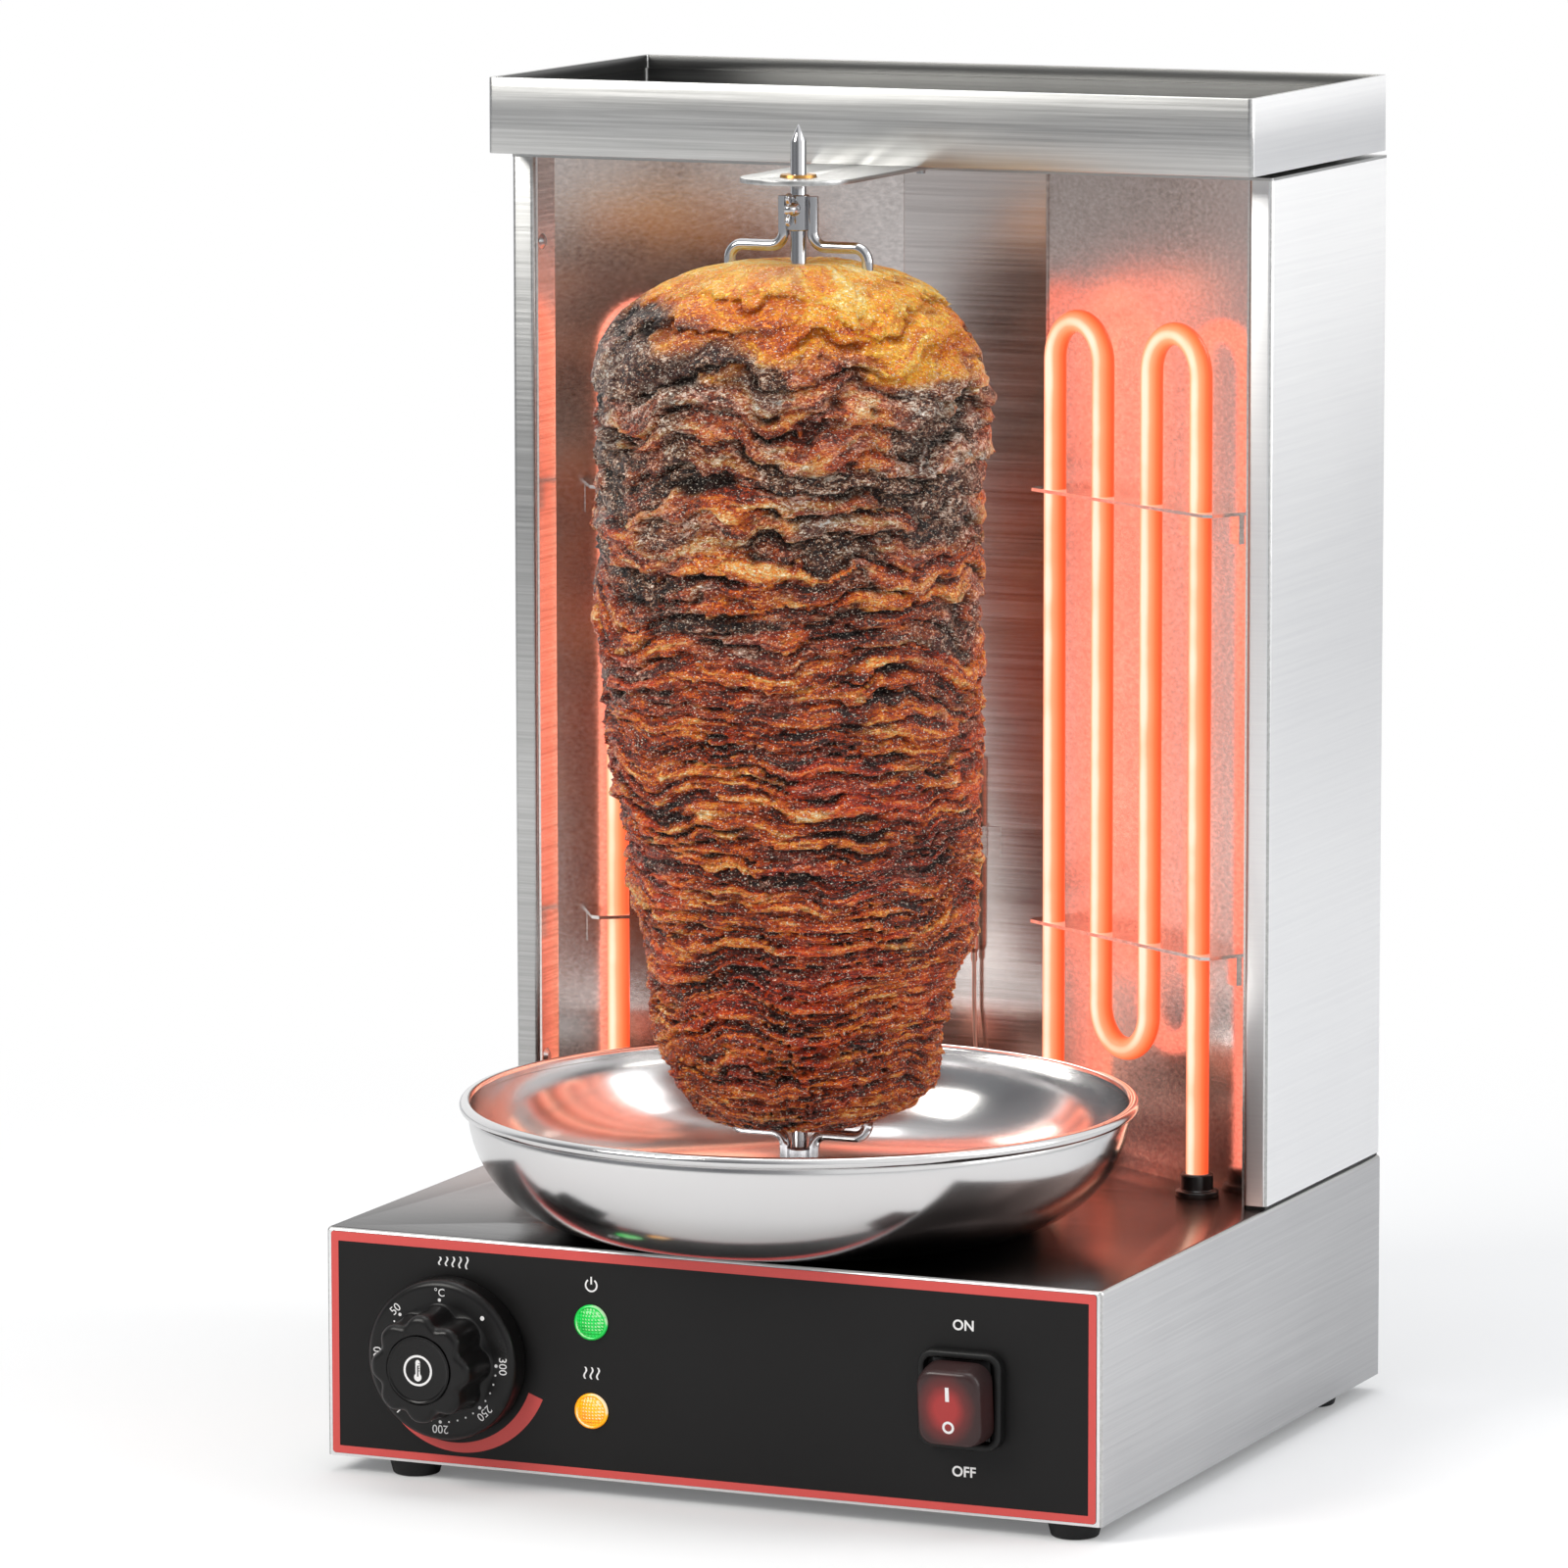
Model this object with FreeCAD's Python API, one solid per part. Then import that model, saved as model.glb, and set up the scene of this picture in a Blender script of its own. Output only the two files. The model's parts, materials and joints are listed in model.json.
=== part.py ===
import FreeCAD, Part
import math
import os

# Doner kebab grill, table-top, electric, with two glowing heaters behind a motor-driven spit.
# Frame: millimetres, Z up, front faces -Y, origin on the table under the middle of the bounding box.

os.makedirs("parts", exist_ok=True)

Vec = FreeCAD.Vector
UP = Vec(0, 0, 1)
RIGHT = Vec(1, 0, 0)
BACK = Vec(0, 1, 0)

# Driving dimensions: clearances
running_gap = 0.05
loose_gap = 0.3
seat_gap = 0.2

# Driving dimensions: base box
base_width = 360.0
base_depth = 337.0
base_height = 100.5
base_sheet = 1.2
base_bend = 2.0
base_flange = 12.0
foot_height = 7.0
foot_top_radius = 12.0
foot_bottom_radius = 10.2
foot_screw_radius = 2.0
foot_inset_left = 36.5
foot_inset_right = 17.0
foot_inset_front = 12.5
foot_inset_back = 40.0
bottom_sheet = 1.0
vent_slot_length = 34.0
vent_slot_width = 4.0
vent_slot_pitch = 12.0
vent_slot_count = 6
back_vent_inset = 40.0

# Driving dimensions: spit line
spit_setback = 98.0
skewer_radius = 3.4
skewer_tip = 573.9
skewer_cone = 6.9
tang_width = 3.0
tang_depth = 2.6

# Driving dimensions: column behind the spit
column_setback = 192.6
column_depth = 143.8
column_top = 549.5
column_sheet = 1.2
column_bend = 1.5
front_flange = 11.0
return_strip = 15.4
rear_flange = 14.0
seam = 1.5
seam_inset = 1.0
seam_width = 9.0
rear_vent_count = 8
rear_vent_margin = 42.0

# Driving dimensions: reflectors
reflector_sheet = 1.0
reflector_middle = 36.0
reflector_depth = 102.4
reflector_angle = 32.3
reflector_lap = 12.0
reflector_lip_start = 1.6
rivet_radius = 2.0
rivet_head_radius = 3.6
rivet_head_height = 1.4
rivet_setback = 6.4
rivet_heights = (143.6, 510.6)

# Driving dimensions: heaters
tube_radius = 5.0
heater_standoff = 13.0
leg_first = 22.5
leg_pitch = 36.0
heater_top = 483.0
heater_bottom_bend = 153.0
heater_tail = 14.0
heater_pin_radius = 1.5
heater_pin_length = 9.0
bushing_ring_radius = 9.5
bushing_ring_height = 2.5
bushing_body_radius = 7.1
bushing_height = 10.0
bushing_below = 4.0
bushing_nut_radius = 9.0
bushing_nut_height = 3.0
bracket_heights = (208.0, 402.0)
bracket_sheet = 1.5
bracket_start = 10.0
bracket_end = 143.0
bracket_reach = 19.0
bracket_drop = 14.0
bracket_screw_radius = 1.6
bracket_screw_inset = 30.5
bracket_screw_head = 3.2
bracket_screw_head_height = 1.6

# Driving dimensions: top tray and bearing plate
bearing_sheet = 2.0
bearing_radius = 25.0
bush_radius = 5.3
bush_flange_radius = 8.0
bush_flange_height = 1.2
tray_setback = 168.4
tray_depth = 167.1
tray_height = 33.5
tray_sheet = 1.0
tray_bend = 2.5
tray_hem_depth = 6.0
tray_hem_thickness = 2.2
spacer_width = 18.0
spacer_inset = 30.0
top_screw_radius = 2.0
top_screw_inset = 40.0
top_screw_end = 1.8
top_nut_radius = 4.0
top_nut_height = 3.2

# Driving dimensions: meat
meat_bottom = 144.2
meat_top = 515.8
meat_radius = 84.0

# Driving dimensions: forks
fork_bar = 6.2
fork_rod_radius = 2.5
fork_weld = 0.5
fork_spread = 32.0
fork_bend = 6.0
fork_prong = 58.0
collar_radius = 4.7
collar_gap = 6.8
collar_height = 15.2
wing_above_bar = 16.3
wing_shank_radius = 2.0
wing_hub_radius = 3.4
wing_hub_length = 6.5
wing_span = 7.2
wing_thickness = 1.8
wing_length = 8.0
upper_fork_travel = 1.0
lower_fork_travel = 2.0

# Driving dimensions: drip pan
pan_radius = 147.0
pan_floor_radius = 96.0
pan_height = 53.5
pan_sheet = 1.0
pan_bead_radius = 2.6
pan_bead_lap = 1.0
pan_bulge_out = 0.70
pan_bulge_up = 0.30
pan_spout_radius = 24.0
pan_spout_height = 10.0

# Driving dimensions: drive
socket_radius = 8.0
socket_height = 8.0
socket_top_height = 10.0
shaft_radius = 4.0
deck_bush_flange = 9.4
deck_bush_radius = 7.5
deck_bush_flange_height = 1.4
gearcase_width = 62.0
gearcase_height = 25.0
gearcase_corner = 8.0
motor_radius = 29.0
motor_height = 32.0
hanger_drop = 13.0
hanger_sheet = 2.0
hanger_width = 76.0
hanger_foot = 16.0
hanger_depth = 56.0

# Driving dimensions: front panel
overlay_sheet = 0.3
overlay_side = 2.5
overlay_bottom = 1.3
overlay_top = 1.5
overlay_corner = 1.5
knob_inset = 60.5
knob_height = 48.8
knob_start = 2.0
skirt_radius = 35.0
skirt_face_radius = 33.9
skirt_height = 13.4
grip_radius = 25.5
grip_height = 34.4
grip_edge = 3.0
scallop_count = 8
scallop_radius = 9.5
scallop_depth = 3.0
knob_bore_depth = 8.0
knob_wall = 2.6
knob_hub_radius = 7.0
cap_radius = 14.7
cap_height = 1.0
cap_recess = 1.4
spindle_radius = 3.0
spindle_inside = 20.0
thermostat_neck_radius = 5.0
thermostat_neck_height = 1.6
thermostat_width = 44.0
thermostat_tall = 40.0
thermostat_depth = 30.0
lamp_inset = 126.0
lamp_heights = (30.0, 68.5)
lamp_radius = 7.75
lamp_dome = 3.6
lamp_body_radius = 6.0
lamp_body_depth = 24.0
lamp_tab = 6.0
switch_inset = 62.5
switch_height = 50.0
switch_cut_width = 22.0
switch_cut_height = 30.0
switch_flange = 2.0
switch_flange_height = 2.0
switch_depth = 26.0
boot_frame_width = 38.0
boot_frame_height = 42.0
boot_frame_depth = 5.6
boot_frame_wall = 2.6
boot_corner = 5.0
boot_start = 4.3
boot_depth = 13.0
boot_taper = 1.6
boot_wall = 1.5
rocker_tilt = 5.6
rocker_pivot = 2.0
paddle_width = 18.0
paddle_height = 24.0
paddle_depth = 6.0
paddle_start = 5.2
stem_thickness = 3.0
stem_radius = 2.4
stem_width = 14.0

# Driving dimensions: thermostat bulb, supply and gland
bulb_radius = 2.2
bulb_x = 2.0
bulb_standoff = 4.5
bulb_bottom = 190.0
bulb_length = 86.0
bulb_crimp = 6.0
capillary_radius = 0.9
capillary_sway = 3.0
capillary_bend = 5.0
capillary_drop = 16.0
capillary_hole_radius = 3.2
grommet_flange = 5.0
grommet_height = 1.6
clip_height = 14.0
clip_sheet = 0.8
clip_tab = 8.0
clip_level = 231.0
gland_inset = 62.0
gland_height = 36.0
gland_reach = 12.0
gland_radius = 8.0
gland_hex = 11.0
gland_hex_height = 4.0
gland_bore = 3.8
terminal_width = 34.0
terminal_depth = 20.0
terminal_height = 17.0
terminal_ways = 3
terminal_bore = 2.2

# Places worked out from the driving dimensions
front = -(base_depth + gland_reach + spit_setback - pan_radius) / 2
spit_y = front + spit_setback
base_bottom = foot_height
deck = base_bottom + base_height
half_width = base_width / 2
column_front = front + column_setback
column_back = column_front + column_depth
column_bottom = deck + seam
column_ceiling = base_bottom + column_top
strip_x = half_width - front_flange
plate_top = column_ceiling + bearing_sheet
tray_top = plate_top + tray_height
tilt = math.radians(reflector_angle)
along = Vec(math.cos(tilt), -math.sin(tilt), 0)
outward = Vec(-math.sin(tilt), -math.cos(tilt), 0)
mirror_y = column_front + reflector_depth
fold_point = Vec(reflector_middle, mirror_y, 0)
socket_top = deck + socket_top_height
knob_x = -half_width + knob_inset
lamp_x = -half_width + lamp_inset
switch_x = half_width - switch_inset
gland_x = half_width - gland_inset
meat_low = base_bottom + meat_bottom
meat_high = base_bottom + meat_top


def block(x0, x1, y0, y1, z0, z1):
    """A box between two corners."""
    return Part.makeBox(x1 - x0, y1 - y0, z1 - z0, Vec(x0, y0, z0))


def rod(radius, start, end):
    """A round bar between two points."""
    reach = end - start
    return Part.makeCylinder(radius, reach.Length, start, reach)


def turned(profile, centre, axis=UP):
    """A lathe-turned solid from (radius, height) points along an axis through centre."""
    points = [Vec(radius, 0, height) for radius, height in profile]
    face = Part.Face(Part.makePolygon(points + points[:1]))
    solid = face.revolve(Vec(0, 0, 0), UP, 360)
    solid.Placement = FreeCAD.Placement(centre, FreeCAD.Rotation(UP, axis))
    return solid


def prism(points, z0, z1):
    """A straight solid over a closed outline in plan."""
    outline = [Vec(p[0], p[1], z0) for p in points]
    return Part.Face(Part.makePolygon(outline + outline[:1])).extrude(Vec(0, 0, z1 - z0))


def rounded_block(x0, x1, y0, y1, z0, z1, radius, direction=UP):
    """A box with the four edges along one direction rounded."""
    solid = block(x0, x1, y0, y1, z0, z1)
    edges = [e for e in solid.Edges if abs(abs(e.tangentAt(e.FirstParameter).dot(direction)) - 1) < 1e-6]
    return solid.makeFillet(radius, edges)


def hexagon(corner_radius):
    """Corners of a hexagon in plan, with two corners on the Y axis."""
    corners = []
    for index in range(6):
        angle = math.radians(60 * index + 30)
        corners.append((corner_radius * math.cos(angle), corner_radius * math.sin(angle)))
    return corners


def fused(pieces):
    """Pieces joined into one solid, with the seams taken out."""
    solid = pieces[0]
    for piece in pieces[1:]:
        solid = solid.fuse(piece)
    return solid.removeSplitter()


def tube(points, tube_size, bend):
    """A round rod of straight runs joined by tangent bends."""
    pieces = []
    start = points[0]
    for before, corner, after in zip(points, points[1:], points[2:]):
        into = (corner - before).normalize()
        out = (after - corner).normalize()
        turn = into.getAngle(out)
        reach = bend * math.tan(turn / 2)
        first = corner - into * reach
        centre = corner + (out - into).normalize() * (bend / math.cos(turn / 2))
        if (first - start).Length > 1e-6:
            pieces.append(rod(tube_size, start, first))
        disc = Part.Face(Part.Wire(Part.makeCircle(tube_size, first, into)))
        pieces.append(disc.revolve(centre, into.cross(out), math.degrees(turn)))
        start = corner + out * reach
    pieces.append(rod(tube_size, start, points[-1]))
    return fused(pieces)


def folded_sheet(points, thickness, bend, z0, z1):
    """A sheet folded along vertical lines: points run along its middle, bend is the inner radius."""
    middle_radius = bend + thickness / 2
    half = thickness / 2
    left = []
    right = []
    flat = [Vec(p[0], p[1], z0) for p in points]

    def offset(point, heading, side):
        return point + Vec(-heading.y, heading.x, 0) * (half * side)

    start = flat[0]
    for before, corner, after in zip(flat, flat[1:], flat[2:]):
        into = (corner - before).normalize()
        out = (after - corner).normalize()
        turn = into.getAngle(out)
        reach = middle_radius * math.tan(turn / 2)
        first = corner - into * reach
        last = corner + out * reach
        inward = (out - into).normalize()
        centre = corner + inward * (middle_radius / math.cos(turn / 2))
        for side, run in ((1, left), (-1, right)):
            a = offset(first, into, side)
            b = offset(last, out, side)
            arc_radius = (a - centre).Length
            run.append(Part.makeLine(offset(start, into, side), a))
            run.append(Part.Arc(a, centre - inward * arc_radius, b).toShape())
        start = last
    into = (flat[-1] - start).normalize()
    for side, run in ((1, left), (-1, right)):
        run.append(Part.makeLine(offset(start, into, side), offset(flat[-1], into, side)))
    first_heading = (flat[1] - flat[0]).normalize()
    caps = [
        Part.makeLine(offset(flat[0], first_heading, 1), offset(flat[0], first_heading, -1)),
        Part.makeLine(offset(flat[-1], into, 1), offset(flat[-1], into, -1)),
    ]
    outline = Part.Wire(Part.__sortEdges__(left + right + caps))
    return Part.Face(outline).extrude(Vec(0, 0, z1 - z0))


def mirrored(solid):
    """The same piece on the other side of the machine."""
    return solid.mirror(Vec(0, 0, 0), RIGHT)


def write(name, shape):
    """One sub-part into its own file."""
    if not shape.isValid():
        print("invalid shape:", name)
    shape.exportStep("parts/" + name + ".step")


def slots(x_start, z, count, length, y0, y1):
    """A row of round-ended upright vent slots through a wall."""
    cutters = []
    for index in range(count):
        x = x_start + index * vent_slot_pitch
        half = vent_slot_width / 2
        body = block(x - half, x + half, y0, y1, z - length / 2, z + length / 2)
        ends = [rod(half, Vec(x, y0, z + s * length / 2), Vec(x, y1, z + s * length / 2)) for s in (-1, 1)]
        cutters.append(fused([body] + ends))
    return cutters


# Base

def leg_places():
    """Plan places of the four heater legs on the right-hand reflector."""
    places = []
    for index in range(4):
        reach = leg_first + index * leg_pitch
        places.append(fold_point + along * reach + outward * heater_standoff)
    return places


def tail_places():
    """Where heater legs run down through the deck, on both sides."""
    right_side = [leg_places()[0], leg_places()[3]]
    left_side = [Vec(-p.x, p.y, 0) for p in right_side]
    return right_side + left_side


def capillary_hole():
    """Plan place of the deck hole for the thermostat's thin tube, clear of the reflector."""
    return Vec(bulb_x + capillary_sway, mirror_y - bulb_standoff - capillary_sway, 0)


def base_inside():
    """Space inside the folded base, open at the back and below."""
    inner = block(-half_width + base_sheet, half_width - base_sheet, front + base_sheet, front + base_depth + 1,
                  base_bottom - 1, deck - base_sheet)
    folds = [e for e in inner.Edges if e.BoundBox.ZMax > deck - base_sheet - 1e-6
             and e.BoundBox.YMin < front + base_depth]
    return inner.makeFillet(base_bend - base_sheet, folds)


def make_base_shell():
    """Deck, front and sides folded from one sheet, with a lip for the bottom plate."""
    back = front + base_depth
    outer = block(-half_width, half_width, front, back, base_bottom, deck)
    folds = [e for e in outer.Edges if e.BoundBox.ZMax > deck - 1e-6 and e.BoundBox.YMin < back - 1e-6]
    shell = outer.makeFillet(base_bend, folds).cut(base_inside())
    lip_low = base_bottom + bottom_sheet
    lip_high = lip_low + base_sheet
    lip = block(-half_width + base_sheet, half_width - base_sheet, front + base_sheet, back - base_sheet,
                lip_low, lip_high)
    lip = lip.cut(block(-half_width + base_flange, half_width - base_flange, front + base_flange,
                        back - base_flange, lip_low, lip_high))
    shell = shell.fuse(lip)
    cutters = [rod(deck_bush_radius, Vec(0, spit_y, deck - 10), Vec(0, spit_y, deck + 10))]
    for place in tail_places():
        cutters.append(rod(bushing_body_radius, place + UP * (deck - 10), place + UP * (deck + 10)))
    hole = capillary_hole()
    cutters.append(rod(capillary_hole_radius, hole + UP * (deck - 10), hole + UP * (deck + 10)))
    cutters.extend(front_cutters())
    for place in foot_places():
        cutters.append(rod(foot_screw_radius, place, place + UP * (lip_high + 5)))
    for cutter in cutters:
        shell = shell.cut(cutter)
    return shell.removeSplitter()


def make_base_rear():
    """Rear wall, set in flush between the folded sides, with vents and the hole for the cord gland."""
    back = front + base_depth
    wall = block(-half_width, half_width, back - base_sheet, back, base_bottom, deck).common(base_inside())
    gland = Vec(gland_x, back, base_bottom + gland_height)
    cutters = [rod(gland_radius, gland - BACK * 10, gland + BACK * 10)]
    cutters.extend(slots(-half_width + back_vent_inset, base_bottom + base_height / 2, vent_slot_count,
                         vent_slot_length, back - 10, back + 10))
    for cutter in cutters:
        wall = wall.cut(cutter)
    return wall


def front_cutters():
    """Openings for the thermostat neck, the lamps and the switch, through panel and overlay."""
    near = front - 10
    far = front + 10
    cutters = []
    knob_z = base_bottom + knob_height
    cutters.append(rod(thermostat_neck_radius, Vec(knob_x, near, knob_z), Vec(knob_x, far, knob_z)))
    for height in lamp_heights:
        z = base_bottom + height
        cutters.append(rod(lamp_body_radius, Vec(lamp_x, near, z), Vec(lamp_x, far, z)))
    z = base_bottom + switch_height
    half_w = switch_cut_width / 2
    half_h = switch_cut_height / 2
    cutters.append(block(switch_x - half_w, switch_x + half_w, near, far, z - half_h, z + half_h))
    return cutters


def make_front_overlay():
    sheet = rounded_block(-half_width + overlay_side, half_width - overlay_side, front - overlay_sheet, front,
                          base_bottom + overlay_bottom, deck - overlay_top, overlay_corner, BACK)
    for cutter in front_cutters():
        sheet = sheet.cut(cutter)
    return sheet


def foot_places():
    left = -half_width + foot_inset_left
    right = half_width - foot_inset_right
    near = front + foot_inset_front
    far = front + base_depth - foot_inset_back
    return [Vec(x, y, 0) for x in (left, right) for y in (near, far)]


def make_foot(place):
    recess_radius = foot_screw_radius * 2.6
    recess_depth = foot_height * 0.45
    profile = [
        (foot_screw_radius, recess_depth),
        (recess_radius, recess_depth),
        (recess_radius, 0),
        (foot_bottom_radius - 0.8, 0),
        (foot_bottom_radius, 0.8),
        (foot_top_radius, foot_height),
        (foot_screw_radius, foot_height),
    ]
    return turned(profile, place)


def make_foot_screws():
    screws = []
    for place in foot_places():
        head_low = foot_height * 0.45 - 2.0
        head = rod(foot_screw_radius * 1.9, place + UP * head_low, place + UP * (head_low + 2.0))
        shank_top = foot_height + bottom_sheet + base_sheet + 2.0
        shank = rod(foot_screw_radius, place + UP * (head_low + 2.0), place + UP * shank_top)
        screws.append(head.fuse(shank))
    return Part.makeCompound(screws)


def make_bottom_plate():
    margin = base_sheet + seat_gap
    back = front + base_depth
    plate = block(-half_width + margin, half_width - margin, front + margin, back - margin,
                  base_bottom, base_bottom + bottom_sheet)
    for place in foot_places():
        plate = plate.cut(rod(foot_screw_radius, place, place + UP * deck))
    for row in range(2):
        for index in range(vent_slot_count):
            x = -vent_slot_pitch * (vent_slot_count - 1) / 2 + index * vent_slot_pitch
            y = front + base_depth * (0.55 + 0.2 * row)
            half = vent_slot_width / 2
            plate = plate.cut(block(x - half, x + half, y, y + vent_slot_length, 0, deck))
    return plate


# Column

def side_profile():
    """Middle line of the right-hand side sheet in plan, from the inner strip round to the rear flange."""
    half = column_sheet / 2
    strip = strip_x + half
    return [
        (strip, column_front + return_strip),
        (strip, column_front + half),
        (half_width - half, column_front + half),
        (half_width - half, column_back - half),
        (half_width - rear_flange, column_back - half),
    ]


def rivet_places():
    y = column_front + rivet_setback
    return [Vec(strip_x, y, base_bottom + height) for height in rivet_heights]


def make_side_panel():
    panel = folded_sheet(side_profile(), column_sheet, column_bend - column_sheet / 2,
                         column_bottom, column_ceiling - column_sheet)
    for place in rivet_places():
        panel = panel.cut(rod(rivet_radius, place, place + RIGHT * (column_sheet + 1)))
    return panel


def make_rear_cover():
    y1 = column_back - column_sheet
    y0 = y1 - column_sheet
    x = half_width - column_sheet - column_bend
    cover = block(-x, x, y0, y1, column_bottom, column_ceiling - column_sheet)
    start = -vent_slot_pitch * (rear_vent_count - 1) / 2
    for z in (column_bottom + rear_vent_margin, column_ceiling - rear_vent_margin):
        for cutter in slots(start, z, rear_vent_count, vent_slot_length, y0 - 1, y1 + 1):
            cover = cover.cut(cutter)
    return cover


def make_seam_gasket():
    """Dark heat-resistant strip that the column stands on, set in a little from its faces."""
    outer_x = half_width - seam_inset
    inner_x = outer_x - seam_width
    y0 = column_front + seam_inset
    y1 = column_back - seam_inset
    ring = [
        (-outer_x, y0),
        (-inner_x, y0),
        (-inner_x, y1 - seam_width),
        (inner_x, y1 - seam_width),
        (inner_x, y0),
        (outer_x, y0),
        (outer_x, y1),
        (-outer_x, y1),
    ]
    return prism(ring, deck, column_bottom)


# Reflectors

def lap_line():
    """Middle line of the right-hand reflector in plan."""
    half = reflector_sheet / 2
    behind = mirror_y + reflector_sheet + half
    skew = fold_point - outward * half
    slope = along.y / along.x
    fold_x = skew.x + (behind - skew.y) / slope
    lip_x = strip_x - half
    lip_y = skew.y + (lip_x - skew.x) * slope
    return [
        (lip_x, column_front + reflector_lip_start),
        (lip_x, lip_y),
        (fold_x, behind),
        (fold_x - reflector_lap, behind),
    ]


def bracket_screw_places(level):
    places = []
    for reach in (bracket_start + bracket_screw_inset, bracket_end - bracket_screw_inset):
        places.append(fold_point + along * reach + UP * (level - bracket_drop * 0.6))
    return places


def make_side_reflector():
    panel = folded_sheet(lap_line(), reflector_sheet, 0.4, deck, column_ceiling - column_sheet)
    for place in rivet_places():
        panel = panel.cut(rod(rivet_radius, place - RIGHT * 5, place + RIGHT))
    for height in bracket_heights:
        for place in bracket_screw_places(base_bottom + height):
            panel = panel.cut(rod(bracket_screw_radius, place - outward * 4, place + outward * 2))
    return panel


def make_middle_reflector():
    half = reflector_middle - reflector_sheet / math.tan(tilt) - loose_gap
    panel = block(-half, half, mirror_y, mirror_y + reflector_sheet, deck, column_ceiling - column_sheet)
    z = base_bottom + clip_level + clip_height / 2
    x = bulb_x + bulb_radius + clip_sheet + clip_tab / 2
    return panel.cut(rod(1.2, Vec(x, mirror_y - 2, z), Vec(x, mirror_y + 4, z)))


def make_rivets():
    rivets = []
    for place in rivet_places():
        inner = place - RIGHT * reflector_sheet
        head = Part.makeCone(rivet_head_radius, rivet_head_radius * 0.5, rivet_head_height, inner, RIGHT * -1)
        shank = rod(rivet_radius, inner, place + RIGHT * column_sheet)
        tail = rod(rivet_radius * 1.4, place + RIGHT * column_sheet, place + RIGHT * (column_sheet + 2))
        rivet = fused([shank, head, tail])
        rivets.append(rivet)
        rivets.append(mirrored(rivet))
    return Part.makeCompound(rivets)


# Heaters

def make_heater():
    """One tube of four legs: two bends on top, one below, and both ends down through the deck."""
    legs = leg_places()
    top = base_bottom + heater_top - tube_radius
    low = base_bottom + heater_bottom_bend + tube_radius
    tail = deck - heater_tail
    levels = (tail, top, top, low, low, top, top, tail)
    corners = [legs[index // 2] + UP * level for index, level in enumerate(levels)]
    pieces = [tube(corners, tube_radius, leg_pitch / 2)]
    for leg in (legs[0], legs[3]):
        pieces.append(rod(heater_pin_radius, leg + UP * (tail - heater_pin_length), leg + UP * tail))
    return fused(pieces)


def make_bushing(place):
    profile = [
        (tube_radius, -bushing_below - bushing_nut_height),
        (bushing_body_radius, -bushing_below - bushing_nut_height),
        (bushing_body_radius, 0),
        (bushing_ring_radius, 0),
        (bushing_ring_radius, bushing_ring_height - 0.6),
        (bushing_ring_radius - 0.6, bushing_ring_height),
        (bushing_body_radius, bushing_ring_height),
        (bushing_body_radius, bushing_height - 0.8),
        (bushing_body_radius - 0.8, bushing_height),
        (tube_radius, bushing_height),
    ]
    return turned(profile, place + UP * deck)


def make_bushing_nut(place):
    low = deck - base_sheet - bushing_nut_height
    corners = []
    for index in range(6):
        angle = math.radians(60 * index)
        corners.append((place.x + bushing_nut_radius * 1.155 * math.cos(angle),
                        place.y + bushing_nut_radius * 1.155 * math.sin(angle)))
    nut = prism(corners, low, low + bushing_nut_height)
    return nut.cut(rod(bushing_body_radius, place + UP * (low - 1), place + UP * deck))


def make_bracket(height):
    """Shelf with four tube holes and a fixing flange, screwed to the reflector."""
    level = base_bottom + height
    corners = [
        fold_point + along * bracket_start,
        fold_point + along * bracket_end,
        fold_point + along * bracket_end + outward * (bracket_reach - 3.0),
        fold_point + along * (bracket_end - 3.0) + outward * bracket_reach,
        fold_point + along * (bracket_start + 3.0) + outward * bracket_reach,
        fold_point + along * bracket_start + outward * (bracket_reach - 3.0),
    ]
    shelf = prism([(c.x, c.y) for c in corners], level - bracket_sheet, level)
    flange_corners = [
        corners[0],
        corners[1],
        corners[1] + outward * bracket_sheet,
        corners[0] + outward * bracket_sheet,
    ]
    flange = prism([(c.x, c.y) for c in flange_corners], level - bracket_drop, level)
    bracket = fused([shelf, flange])
    for leg in leg_places():
        bracket = bracket.cut(rod(tube_radius + seat_gap, leg + UP * (level - 10), leg + UP * (level + 10)))
    for place in bracket_screw_places(level):
        bracket = bracket.cut(rod(bracket_screw_radius, place - outward * 4, place + outward * 10))
    return bracket


def make_bracket_screws():
    screws = []
    for height in bracket_heights:
        for place in bracket_screw_places(base_bottom + height):
            face = place + outward * bracket_sheet
            head = Part.makeCone(bracket_screw_head, bracket_screw_head * 0.6, bracket_screw_head_height,
                                 face, outward)
            shank = rod(bracket_screw_radius, face - outward * (bracket_sheet + reflector_sheet + 3), face)
            screw = fused([shank, head])
            screws.append(screw)
            screws.append(mirrored(screw))
    return Part.makeCompound(screws)


# Top

def top_screw_places():
    behind = mirror_y + reflector_sheet
    return [Vec(0, column_front + top_screw_inset, 0), Vec(0, (behind + column_back) / 2, 0)]


def make_ceiling():
    """Cover sheet over the column and the cooking space."""
    flat = rounded_block(-half_width, half_width, column_front, column_back,
                         column_ceiling - column_sheet, column_ceiling, column_bend)
    for place in top_screw_places():
        flat = flat.cut(rod(top_screw_radius, place, place + UP * (tray_top + 10)))
    return flat


def make_bearing_plate():
    y1 = column_back - column_sheet
    tab = block(-bearing_radius, bearing_radius, spit_y, y1, column_ceiling, plate_top)
    nose = rod(bearing_radius, Vec(0, spit_y, column_ceiling), Vec(0, spit_y, plate_top))
    plate = fused([tab, nose])
    plate = plate.cut(rod(bush_radius, Vec(0, spit_y, 0), Vec(0, spit_y, tray_top)))
    for place in top_screw_places():
        plate = plate.cut(rod(top_screw_radius, place, place + UP * (tray_top + 10)))
    return plate


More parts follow.
